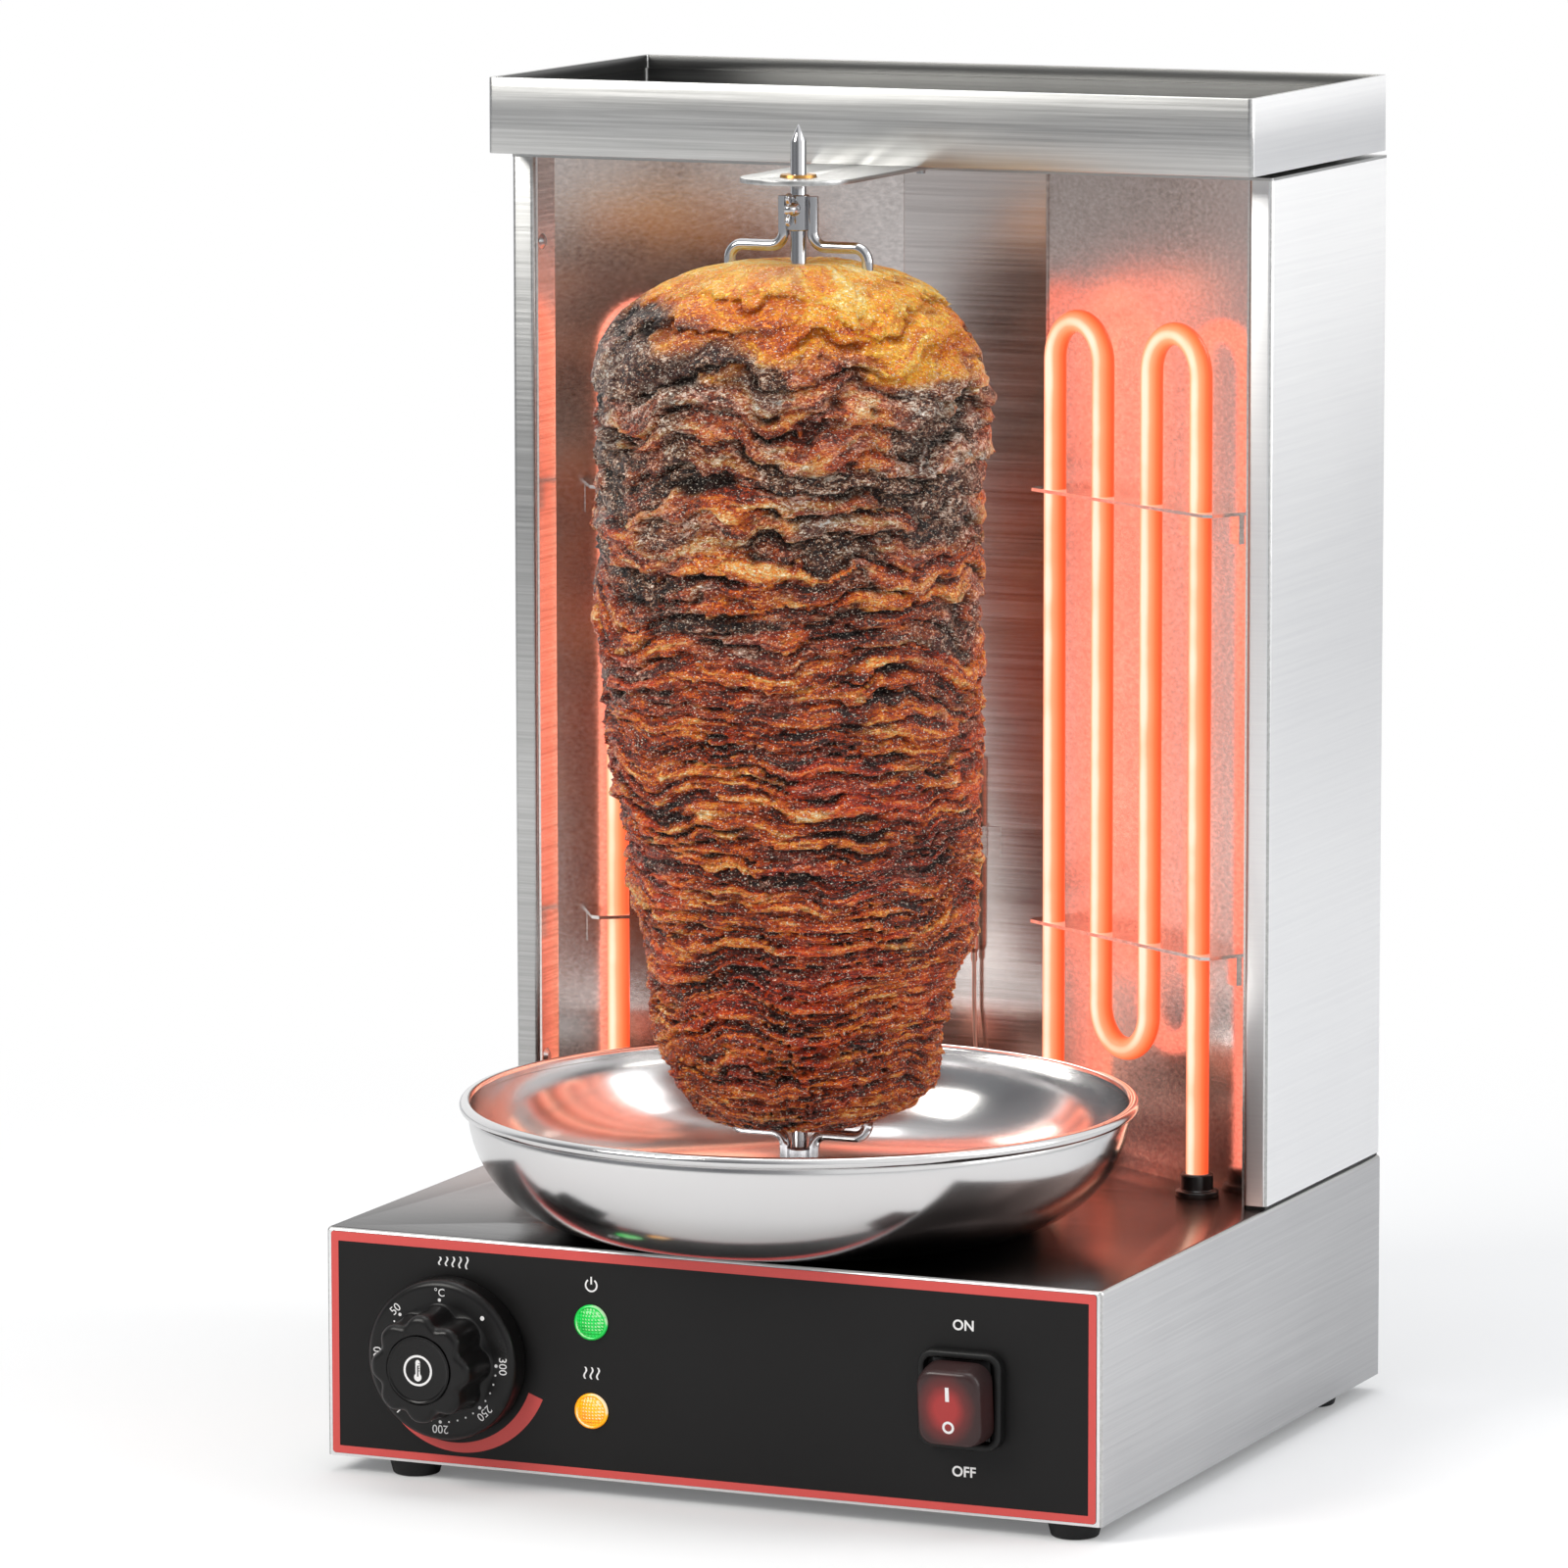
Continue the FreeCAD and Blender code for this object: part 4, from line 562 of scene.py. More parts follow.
# %% Glowing tubes
fold_x, mirror_y = 36.0, 145.0
tilt = math.radians(32.3)
first_leg, leg_spacing, leg_out = 22.5, 36.0, 13.0
heater_foot, heater_top, heater_low = 93.5, 485.0, 165.0
heater_radius, heater_bend = 5.0, 18.0
pin_radius, pin_length = 1.5, 9.0
along = Vector((math.cos(tilt), -math.sin(tilt), 0))
outward = Vector((-math.sin(tilt), -math.cos(tilt), 0))


def heater_path(side):
    """Corner points of one heater tube; side is 1 for the right one and -1 for the left one."""
    fold = Vector((fold_x, mirror_y, 0))
    legs = [fold + along * (first_leg + leg_spacing * index) + outward * leg_out for index in range(4)]
    levels = (heater_foot, heater_top, heater_top, heater_low, heater_low, heater_top, heater_top,
              heater_foot)
    corners = [legs[index // 2] + Vector((0, 0, level)) for index, level in enumerate(levels)]
    return [Vector((side * corner.x, corner.y, corner.z)) for corner in corners]


def glow_finish(name, side):
    """Glowing sheath: orange all round, with a painted highlight, a nearly white narrow line, on the side
    that faces the front and a little left.
    """
    material, tree, surface = finish_of(name, Base_Color="#C4572F", Roughness=0.38)
    # Painted highlight: faces whose normal points to the front and a little left are painted towards nearly
    # white.
    facing = add(tree, "VectorMath", {0: add(tree, "NewGeometry").outputs["Normal"],
                                      1: (-0.27 - 0.05 * side, -0.95, 0.0)}, operation="DOT_PRODUCT")
    place = add(tree, "TexCoord")
    mottle = add(tree, "TexNoise", {"Vector": place.outputs["Object"], "Scale": 40.0, "Detail": 3.0})
    uneven = add(tree, "MapRange", {0: mottle.outputs["Fac"], 1: 0.2, 2: 0.8, 3: -0.05, 4: 0.05})
    heat = add(tree, "Math", {0: facing.outputs["Value"], 1: uneven.outputs[0]}, operation="ADD")
    colour = add(tree, "ValToRGB", {"Fac": heat.outputs[0]},
                 stops=[(0.0, "#F0522A"), (0.45, "#FF7442"), (0.72, "#FF9464"), (0.88, "#FFAE82"),
                        (0.95, "#FFDDB8"), (1.0, "#FFF4DC")])
    seen = add(tree, "LightPath")
    # Painted reflection tint: rays other than the camera's see the glow paler pink and stronger.
    haze = add(tree, "Math", {0: seen.outputs["Is Camera Ray"], 1: -0.35, 2: 0.35}, operation="MULTIPLY_ADD")
    hazed = add(tree, "Mix", {0: haze.outputs[0], 6: colour.outputs["Color"], 7: "#FFC4B4"}, data_type="RGBA")
    tree.links.new(hazed.outputs[2], surface.inputs["Emission Color"])
    strength = add(tree, "MapRange", {0: seen.outputs["Is Camera Ray"], 3: 1.75, 4: 0.98})
    tree.links.new(strength.outputs[0], surface.inputs["Emission Strength"])
    return material


heaters = {}
for side, label in ((1, "right"), (-1, "left")):
    sheath = tube("heater_tube_" + label, rounded_path(heater_path(side), heater_bend), heater_radius,
                  around=10)
    legs = heater_path(side)
    pins = [tube("pin", [leg, leg - Vector((0, 0, pin_length))], pin_radius, around=3)
            for leg in (legs[0], legs[-1])]
    heater = joined("heater_tube_" + label, [sheath] + pins)
    dressed(heater, glow_finish("glowing_sheath_" + label, side), "frame", "glowing_tube", "heater_" + label)
    heaters[label] = heater
print("heater faces:", {label: len(piece.data.polygons) for label, piece in heaters.items()})

# %% [markdown]
# ## Roast
# The roast is a stack of meat slices pressed on the spit. What shows are the slices' edges: lumps and flakes
# that lap over each other like shingles, with dark gaps under them, thick and loose near the top, thin and
# dense below. A plain cylinder with a picture on it would look flat, so the surface is a fine grid that is
# really pushed in and out: first the outline of the stack, then a mosaic of flakes, then smaller flakes on
# them.

# %% Smooth noise on many points at once
def scrambled(number):
    """A random value from -1 to 1 that belongs to each whole number."""
    mixed = (number * 1274126177) & 0xFFFFFFFF
    mixed = ((mixed ^ (mixed >> 13)) * 1103515245) & 0xFFFFFFFF
    return ((mixed ^ (mixed >> 16)) & 0xFFFF) / 32767.5 - 1


def soft_noise(points, seed):
    """Smooth random values from -1 to 1 for an array of points; features are about one unit wide."""
    base = np.floor(points).astype(np.int64)
    share = points - base
    share = share * share * share * (share * (share * 6 - 15) + 10)
    total = np.zeros(len(points))
    for dx in (0, 1):
        for dy in (0, 1):
            for dz in (0, 1):
                corner = base + (dx, dy, dz)
                key = corner[:, 0] * 7919 + corner[:, 1] * 104729 + corner[:, 2] * 1299709 + seed * 15487
                value = scrambled(key)
                weight = ((share[:, 0] if dx else 1 - share[:, 0]) * (share[:, 1] if dy else 1 - share[:, 1])
                          * (share[:, 2] if dz else 1 - share[:, 2]))
                total += value * weight
    return total


def rough_noise(points, seed, octaves=3):
    """Several layers of soft_noise, each twice as fine and half as strong."""
    return sum(soft_noise(points * 2 ** level, seed + level) * 0.5 ** level for level in range(octaves))


def flakes(across, upward, cells_round, seed):
    """Mosaic of long flakes, one in each cell of a grid that closes round the stack.

    Returns how far each point is from its flake's middle and from the next flake's, how far below the
    middle it lies, a random value that belongs to the flake, and how level the border to the next one is."""
    stretch, stray_across, stray_up = 0.55, 0.42, 0.36
    column, row = np.floor(across).astype(np.int64), np.floor(upward).astype(np.int64)
    nearest, second = np.full(len(across), 9.0), np.full(len(across), 9.0)
    own_x, own_y, next_x, next_y, chance = (np.zeros(len(across)) for _ in range(5))
    for step_x in (-2, -1, 0, 1, 2):
        for step_y in (-1, 0, 1):
            key = ((column + step_x) % cells_round) * 7919 + (row + step_y) * 104729 + seed * 15487
            middle_x = column + step_x + 0.5 + stray_across * scrambled(key)
            middle_y = row + step_y + 0.5 + stray_up * scrambled(key + 17)
            away = np.hypot((across - middle_x) * stretch, upward - middle_y)
            closer = away < nearest
            beside = ~closer & (away < second)
            next_x = np.where(closer, own_x, np.where(beside, middle_x, next_x))
            next_y = np.where(closer, own_y, np.where(beside, middle_y, next_y))
            second = np.where(closer, nearest, np.where(beside, away, second))
            own_x, own_y = np.where(closer, middle_x, own_x), np.where(closer, middle_y, own_y)
            nearest = np.where(closer, away, nearest)
            chance = np.where(closer, scrambled(key + 31), chance)
    level = np.abs(next_y - own_y) / np.hypot((next_x - own_x) * stretch, next_y - own_y)
    return nearest, second, own_y - upward, chance, level


print("noise sample:", np.round(soft_noise(np.random.default_rng(3).uniform(0, 9, (4, 3)), 1), 2))

# %% Grid that becomes the roast
around, up = 330, 296
roast_low, roast_high = 151.4, 522.6
outline_height = [151.4, 155.0, 161.0, 168.9, 190.4, 211.8, 233.2, 254.6, 275.9, 297.3, 339.8, 382.2, 424.4,
                  466.5, 487.6, 501.0, 508.5, 514.5, 519.0, 522.6]
reach_left = [36.0, 42.0, 48.0, 53.0, 62.5, 64.5, 66.5, 72.5, 74.5, 80.0, 84.0, 85.5, 85.8,
              86.0, 83.0, 76.0, 67.0, 57.0, 44.0, 26.0]
reach_right = [33.0, 40.0, 52.0, 59.5, 61.5, 66.0, 76.0, 76.5, 78.5, 77.8, 77.5, 76.2, 77.4,
               80.0, 75.8, 68.0, 60.0, 51.0, 40.0, 24.0]
screen_right = np.array([0.916, 0.401])
toward_viewer = np.array([0.401, -0.916])

alone()
bpy.ops.mesh.primitive_grid_add(x_subdivisions=around, y_subdivisions=up, size=2.0)
roast = bpy.context.object
roast.name = "roast_meat_stack"
count = len(roast.data.vertices)
flat = np.zeros(count * 3)
roast.data.vertices.foreach_get("co", flat)
flat = flat.reshape(-1, 3)
turn = (flat[:, 0] + 1) * math.pi + math.pi / 2
rise = (flat[:, 1] + 1) / 2
print("roast grid:", count, "points")

# %% [markdown]
# The grid's second direction runs up the outside and then in over both ends to the spit, so that top and
# bottom are closed by the same sheet. Near the ends the rows turn inwards, and the last row sits on the spit.

# %% Outline of the stack
end_share = 0.07
side_share = np.clip((rise - end_share) / (1 - 2 * end_share), 0, 1)
height = roast_low + side_share * (roast_high - roast_low)
left = np.interp(height, outline_height, reach_left)
right = np.interp(height, outline_height, reach_right)
cap = np.where(rise < end_share, rise / end_share,
               np.where(rise > 1 - end_share, (1 - rise) / end_share, 1.0))
spit_hole = 3.6
radius = spit_hole + ((left + right) / 2 - spit_hole) * cap
shift = (right - left) / 2 * cap
unit = np.stack([np.cos(turn), np.sin(turn)], axis=1)
print("outline radius in mm:", round(radius.min(), 1), "to", round(radius.max(), 1))

# %% [markdown]
# Slices sag at the front, where they are widest, and wave up and down. The height along the stack is
# therefore bent by smooth noise first, and counted in slice thicknesses: 5 mm thick at the bottom, 18 mm at
# the top.

# %% Large flakes with overhanging lower edges, and small flakes on them
ring = np.column_stack([unit[:, 0] * 80, unit[:, 1] * 80, height])
levels = np.linspace(120, 560, 500)
slice_thickness = np.interp(levels, [150, 250, 330, 390, 440, 480, 523],
                            [5.2, 6.0, 7.2, 9.5, 14.0, 18.0, 17.0])
slices_below = np.concatenate([[0], np.cumsum(np.diff(levels) / slice_thickness[1:])])
wave_height = np.interp(height, [150, 300, 400, 460, 523], [6.0, 8.0, 11.0, 14.0, 8.0])
wave = rough_noise(ring / (44.0, 44.0, 52.0), 11, 3) * wave_height
sag = 9.0 * np.clip(unit @ toward_viewer, 0, 1) ** 2
slice_place = np.interp(height + wave + sag + np.sin(turn * 2 + 0.7) * 3.0, levels, slices_below)
sideways = rough_noise(ring / (22.0, 22.0, 12.0), 71, 2) * 0.35
ragged = rough_noise(ring / (9.0, 9.0, 4.5), 29, 3) * 0.17
share_round = (turn - math.pi / 2) / (2 * math.pi)
flakes_round, small_flakes_round = 11, 34
nearest, second, below, chance, level = flakes(
    share_round * flakes_round + sideways + ragged * 0.6, slice_place + ragged, flakes_round, 3)
small_nearest, small_second, small_below, small_chance, small_level = flakes(
    share_round * small_flakes_round + sideways * 2 + ragged, slice_place * 2.1 + ragged * 1.6,
    small_flakes_round, 9)


def ramp_up(value, end):
    """Rises smoothly from 0 to 1 while value goes from 0 to end."""
    share = np.clip(value / end, 0, 1)
    return share * share * (3 - 2 * share)


border_change = rough_noise(ring / (26.0, 26.0, 10.0), 91, 2)
openness = np.clip(level * 1.3 - 0.2, 0.1, 1) * np.clip(0.74 + border_change * 0.9, 0.15, 1.2)
edge = 1 - (1 - ramp_up(second - nearest, 0.36)) * openness
small_edge = 1 - (1 - ramp_up(small_second - small_nearest, 0.34)) * np.clip(small_level * 1.2, 0.15, 1)
deep = np.interp(height, [150, 300, 400, 470, 505, 523], [2.9, 3.4, 4.8, 6.4, 4.2, 1.6])
overhang = np.clip(0.45 + below * 1.1, 0, 1)
push = (edge - 1) * deep * 1.05 + overhang * edge * deep * 0.75 + chance * deep * 0.42
small_push = (small_edge - 1) * 0.9 + np.clip(0.4 + small_below, 0, 1) * small_edge * 0.7 + small_chance * 0.5
push += small_push * np.interp(height, [150, 400, 470, 523], [0.9, 1.0, 0.7, 0.4])
push += rough_noise(ring / (4.4, 4.4, 2.6), 47, 2) * 0.36 + rough_noise(ring / (55.0, 55.0, 40.0), 5, 2) * 1.8
push = (push - push.mean()) * np.clip(cap * 1.25, 0, 1)
fat_side = unit @ (toward_viewer * 0.8 + screen_right * 0.6)
fat_edge, fat_fade = 0.918, 0.030
fat_wander = rough_noise(ring / (24.0, 24.0, 12.0), 63, 2)
fat_level = side_share + fat_side * 0.030 + chance * 0.020 + fat_wander * 0.018
fat_cover = ramp_up(fat_level - fat_edge, fat_fade)
print("lumps in mm:", round(float(push.min()), 1), "to", round(float(push.max()), 1))

# %% Push the grid into shape
final_radius = radius + push
droop = np.clip(overhang * edge * deep * 0.3, 0, 1.8) * np.clip(cap, 0, 1)
position = np.column_stack([
    unit[:, 0] * final_radius + shift * screen_right[0],
    unit[:, 1] * final_radius + shift * screen_right[1] + spit_y,
    height - droop * (side_share > 0.02) + np.where(rise > 1 - end_share, (cap - 1) + push * 0.3, 0)
    + np.where(rise < end_share, 1 - cap, 0)])
position[:, 2] = np.clip(position[:, 2], roast_low - 0.1, roast_high)
roast.data.vertices.foreach_set("co", (position * MM).ravel())
roast.data.update()
# Painted shade: how far each point lies in a gap between or under the flakes, which the meat's colour paints
# dark.
gap = np.maximum(1 - edge, 0.55 * (1 - small_edge)) * np.clip((cap - 0.3) / 0.5, 0, 1)
# The ridge value marks each flake's bulging ridge, which the meat's colour paints lighter as a painted
# highlight.
for label, values in (("gap", gap), ("tone", chance * 0.5 + 0.5), ("small_tone", small_chance * 0.5 + 0.5),
                      ("rise", side_share), ("fat", fat_cover), ("ridge", overhang * edge)):
    layer = roast.data.attributes.new(label, "FLOAT", "POINT")
    layer.data.foreach_set("value", np.asarray(values, dtype=np.float32))
grain = roast.data.attributes.new("grain", "FLOAT_VECTOR", "POINT")
grain_place = np.column_stack([ring[:, 0], ring[:, 1], slice_place * 7.0])
grain.data.foreach_set("vector", grain_place.astype(np.float32).ravel())
alone()
roast.select_set(True)
bpy.context.view_layer.objects.active = roast
bpy.ops.object.mode_set(mode="EDIT")
bpy.ops.mesh.select_all(action="SELECT")
bpy.ops.mesh.remove_doubles(threshold=1e-5)
bpy.ops.mesh.normals_make_consistent(inside=False)
bpy.ops.object.mode_set(mode="OBJECT")
bpy.ops.object.shade_smooth()
print("roast size in mm:", [round(v / MM, 1) for v in roast.dimensions])

# %% [markdown]
# The roast's colour tells the same story as its shape. Fat on top stays yellow and cream, the bulge under it
# is charred, brown to nearly black with pale crusts, and below it orange, red-brown and dark fibres run along
# the slices. Every flake has its own tone. The gaps get painted shade, the bulging ridges of the flakes a
# painted highlight, and fine bright specks all over are painted glints; the meat also glows faintly in its
# own colour, a painted light. The fibres follow the slices, because their noise is read from the grain
# attribute, whose third number grows by 7 for each slice. Fibres are about 20 mm long and 2 mm thick, the
# crusts of the char are lumps of about 5 mm, and the grit on both is 1 to 2 mm.

# %% Roasted meat
roast_skin, tree, surface = finish_of("roasted_meat_glossy_fat", Roughness=0.34, Specular_IOR_Level=0.38,
                                      Coat_Weight=0.35, Coat_Roughness=0.1)
grain_in = add(tree, "Attribute", attribute_name="grain").outputs["Vector"]
painted_gap_shade_in = add(tree, "Attribute", attribute_name="gap").outputs["Fac"]
tone_in = add(tree, "Attribute", attribute_name="tone").outputs["Fac"]
small_tone_in = add(tree, "Attribute", attribute_name="small_tone").outputs["Fac"]
rise_in = add(tree, "Attribute", attribute_name="rise").outputs["Fac"]
fat_in = add(tree, "Attribute", attribute_name="fat").outputs["Fac"]
painted_ridge_highlight_in = add(tree, "Attribute", attribute_name="ridge").outputs["Fac"]
place_in = add(tree, "TexCoord").outputs["Object"]


def grained(source, scale, detail, low, high, rough=0.6, twist=0.0):
    """Noise read at scaled places, spread to the whole range from 0 to 1."""
    place = add(tree, "Mapping", {"Vector": source, "Scale": scale})
    noise = add(tree, "TexNoise",
                {"Vector": place.outputs[0], "Scale": 1.0, "Detail": detail, "Roughness": rough,
                 "Distortion": twist})
    return add(tree, "MapRange", {0: noise.outputs["Fac"], 1: low, 2: high, 3: 0.0, 4: 1.0}).outputs[0]


def summed(parts):
    """Adds several values, each times its share."""
    total = None
    for value, share in parts:
        inputs = {0: value, 1: share}
        if total is not None:
            inputs[2] = total
        action = "MULTIPLY" if total is None else "MULTIPLY_ADD"
        total = add(tree, "Math", inputs, operation=action).outputs[0]
    return total


fibre = grained(grain_in, (0.045, 0.045, 0.45), 5.0, 0.36, 0.64, 0.62, 0.6)
grit = grained(place_in, (420.0, 420.0, 760.0), 3.0, 0.39, 0.61, 0.68, 1.1)
fine_grit = grained(place_in, (1150.0, 1150.0, 1500.0), 2.0, 0.36, 0.64, 0.6, 0.4)
lumps = grained(place_in, (185.0, 185.0, 330.0), 2.5, 0.37, 0.63, 0.62, 1.6)
patch = grained(grain_in, (0.022, 0.022, 0.05), 2.0, 0.35, 0.65)
# Painted highlight: the bulging ridges of the flakes are painted lighter here.
cooked = summed([(fibre, 0.36), (grit, 0.20), (fine_grit, 0.08), (small_tone_in, 0.16), (tone_in, 0.20),
                 (painted_ridge_highlight_in, 0.13)])
tones = add(tree, "ValToRGB", {"Fac": cooked},
            stops=[(0.18, "#0D0504"), (0.34, "#331008"), (0.46, "#7C2408"), (0.57, "#BE400C"),
                   (0.68, "#E56F18"), (0.79, "#F7A443"), (0.89, "#FCD48E"),
                   (0.98, "#FFF3DC")]).outputs["Color"]
red_places = add(tree, "MapRange", {0: patch, 1: 0.50, 2: 0.85, 3: 0.0, 4: 0.5}).outputs[0]
reddened = add(tree, "Mix", {0: red_places, 6: tones, 7: "#FF5A3A"}, data_type="RGBA",
               blend_type="MULTIPLY").outputs[2]

# %% Charred bulge, fat on top, painted shade in gaps and painted glints
char_band = add(tree, "ValToRGB", {"Fac": rise_in},
                stops=[(0.0, 0.15), (0.40, 0.22), (0.58, 0.46), (0.72, 0.84), (0.86, 1.0), (0.96, 0.8),
                       (0.99, 0.4)])
char = summed([(char_band.outputs["Color"], 0.75), (tone_in, -0.38), (patch, 0.42), (small_tone_in, 0.12)])
char_amount = add(tree, "MapRange", {0: char, 1: 0.40, 2: 0.72, 3: 0.0, 4: 0.92}).outputs[0]
crusted = summed([(lumps, 0.36), (grit, 0.24), (fine_grit, 0.06), (fibre, 0.16), (tone_in, 0.18)])
crust = add(tree, "ValToRGB", {"Fac": crusted},
            stops=[(0.24, "#080504"), (0.38, "#20120B"), (0.49, "#55301D"), (0.58, "#93684C"),
                   (0.67, "#C9AE96"), (0.78, "#F0E4D4"), (0.90, "#FFFFFF")]).outputs["Color"]
cool = add(tree, "MapRange", {0: small_tone_in, 1: 0.55, 2: 0.85, 3: 0.0, 4: 0.8}).outputs[0]
cooled_crust = add(tree, "Mix", {0: cool, 6: crust, 7: "#B4C2CC"}, data_type="RGBA",
                   blend_type="MULTIPLY").outputs[2]
charred = add(tree, "Mix", {0: char_amount, 6: reddened, 7: cooled_crust}, data_type="RGBA").outputs[2]
top_cream = add(tree, "MapRange", {0: rise_in, 1: 0.93, 2: 1.0, 3: 0.0, 4: 1.0}).outputs[0]
melted = summed([(fibre, 0.24), (grit, 0.24), (fine_grit, 0.08), (tone_in, 0.26), (top_cream, 0.20)])
fat = add(tree, "ValToRGB", {"Fac": melted},
          stops=[(0.16, "#6E2004"), (0.28, "#C64A06"), (0.40, "#EF7F0A"), (0.54, "#FBA816"),
                 (0.68, "#FDC948"), (0.82, "#FCE7A4"), (0.95, "#FFFAE8")]).outputs["Color"]
topped = add(tree, "Mix", {0: fat_in, 6: charred, 7: fat}, data_type="RGBA").outputs[2]
# Painted shade: the gaps are painted nearly black, and deep orange in the fat.
painted_gap_shade_tone = add(tree, "Mix", {0: fat_in, 6: "#120604", 7: "#B24A08"}, data_type="RGBA").outputs[2]
painted_gap_shade_strength = add(tree, "MapRange", {0: fat_in, 1: 0.0, 2: 1.0, 3: 0.95, 4: 0.6}).outputs[0]
painted_gap_shade_amount = add(tree, "MapRange", {0: painted_gap_shade_in, 1: 0.22, 2: 0.72, 3: 0.0, 4: painted_gap_shade_strength}).outputs[0]
with_painted_gap_shade = add(tree, "Mix", {0: painted_gap_shade_amount, 6: topped, 7: painted_gap_shade_tone}, data_type="RGBA").outputs[2]
# Painted glints: fine near-white specks all over the meat.
painted_glint = grained(place_in, (900.0, 900.0, 1300.0), 1.0, 0.62, 0.70)
painted_glint_amount = add(tree, "Math", {0: painted_glint, 1: 0.75}, operation="MULTIPLY").outputs[0]
with_painted_glints = add(tree, "Mix", {0: painted_glint_amount, 6: with_painted_gap_shade, 7: "#FFF2DE"}, data_type="RGBA").outputs[2]
tree.links.new(with_painted_glints, surface.inputs["Base Color"])
# Painted light: the meat glows faintly in its own colour, which brightens it.
tree.links.new(with_painted_glints, surface.inputs["Emission Color"])
surface.inputs["Emission Strength"].default_value = 0.16
gloss = add(tree, "MapRange", {0: grit, 1: 0.1, 2: 0.9, 3: 0.5, 4: 0.22})
tree.links.new(gloss.outputs[0], surface.inputs["Roughness"])
coarse_bump = add(tree, "Bump", {"Height": fibre, "Strength": 0.8, "Distance": 0.0018})
fine_bump = add(tree, "Bump", {"Height": grit, "Strength": 0.9, "Distance": 0.0011,
                               "Normal": coarse_bump.outputs[0]})
tree.links.new(fine_bump.outputs[0], surface.inputs["Normal"])
tree.links.new(fine_bump.outputs[0], surface.inputs["Coat Normal"])
dressed(roast, roast_skin, "spit", "roast_meat", "meat")
print("roast material nodes:", len(tree.nodes))

# %% [markdown]
# ## Forks, wing screws and skewer
# A fork is two bent 5 mm rods welded to a collar that slides on the skewer; a wing screw fixes it. The rods
# run out sideways, bend down into the meat and end in points. All of it is polished round bar.

# %% One fork, and its copy turned over
rod_radius, rod_bend = 2.5, 6.0
rod_beside_collar, fork_reach, rod_top, prong_end = 6.7, 32.0, 21.4, -64.2
prong_taper = 3.5


def fork(name, level, up):
    """A fork whose bar is at a height in mm; up is 1 with prongs down and -1 for the fork turned over."""
    def place(x, z):
        return Vector((x, spit_y, level + up * z))

    pieces = []
    for side in (-1, 1):
        inner, outer = side * rod_beside_collar, side * fork_reach
        corners = [place(inner, rod_top), place(inner, 0), place(outer, 0), place(outer, prong_end)]
        path = rounded_path(corners, rod_bend, 10)
        path += [path[-1] + Vector((0, 0, -up * prong_taper * step)) for step in (1, 2)]
        pieces.append(tube("prong", path, rod_radius, around=7, tips={-1: 0.1, -2: 0.6}))
    ring = [(3.5, 6.8), (4.3, 6.8), (4.7, 7.2), (4.7, 21.6), (4.3, 22.0), (3.5, 22.0), (3.5, 6.8)]
    collar = lathe("collar", ring, (0, spit_y, level), steps=48, axis=(0, 0, up))
    return joined(name, pieces + [collar])


for label, level, up in (("upper", 529.0, 1), ("lower", 145.0, -1)):
    piece = fork(label + "_fork_polished", level, up)
    dressed(piece, spit_polish, label + "_fork", "polished_spit", label + "_fork")
    print(piece.name, "faces", len(piece.data.polygons))


# %% Wing screws with two leaf-shaped wings
leaf_radius, leaf_thickness, leaf_edge = 3.0, 1.7, 0.6


def wing_screw(name, level, front):
    """Wing screw at a height in mm; front is -1 when its head points to the panel side."""
    body = lathe("hub",
                 [(0, 3.5), (2.0, 3.5), (2.0, 5.0), (2.9, 5.0), (3.4, 5.5), (3.1, 8.0), (2.5, 10.4),
                  (1.9, 11.3), (1.0, 11.7), (0, 11.8)],
                 (0, spit_y, level), steps=40, axis=(0, front, 0))
    wings = []
    for side in (-1, 1):
        alone()
        bpy.ops.mesh.primitive_circle_add(vertices=28, radius=leaf_radius * MM, fill_type="NGON")
        wing = bpy.context.object
        for vertex in wing.data.vertices:
            u, v = vertex.co.x / (leaf_radius * MM), vertex.co.y / (leaf_radius * MM)
            reach = 9.0 + 3.5 * v + 1.0 * u
            height = side * (4.2 + 2.9 * u * (1.0 + 0.12 * v))
            vertex.co = Vector((0, front * reach, height)) * MM
        bpy.ops.object.mode_set(mode="EDIT")
        bpy.ops.mesh.select_all(action="SELECT")
        bpy.ops.mesh.normals_make_consistent(inside=False)
        bpy.ops.object.mode_set(mode="OBJECT")
        leaf = wing.modifiers.new("leaf", "SOLIDIFY")
        leaf.thickness = leaf_thickness * MM
        leaf.offset = 0.0
        bpy.ops.object.modifier_apply(modifier=leaf.name)
        edge = wing.modifiers.new("edge", "BEVEL")
        edge.width = leaf_edge * MM
        edge.segments = 3
        edge.angle_limit = math.radians(50)
        bpy.ops.object.modifier_apply(modifier=edge.name)
        wing.matrix_world = Matrix.Translation(Vector((0, spit_y, level)) * MM)
        bpy.ops.object.transform_apply(location=True, rotation=True, scale=True)
        bpy.ops.object.shade_smooth_by_angle(angle=math.radians(40))
        wings.append(wing)
    return joined(name, [body] + wings)


for label, level, front in (("upper", 545.3, -1), ("lower", 128.7, 1)):
    piece = wing_screw(label + "_wing_screw_polished", level, front)
    dressed(piece, spit_polish, label + "_screw", "polished_spit", label + "_wing_screw")
    print(piece.name, "size", [round(v / MM, 1) for v in piece.dimensions])

# %% Skewer with a short point
skewer = lathe("skewer_polished",
               [(0, 114.9), (3.2, 114.9), (3.4, 115.2), (3.4, 573.4), (3.1, 574.6), (0.25, 580.7),
                (0, 580.9)],
               (0, spit_y, 0), steps=40)
dressed(skewer, spit_polish, "spit", "polished_spit", "skewer")
print("skewer length in mm:", round(skewer.dimensions.z / MM, 1))

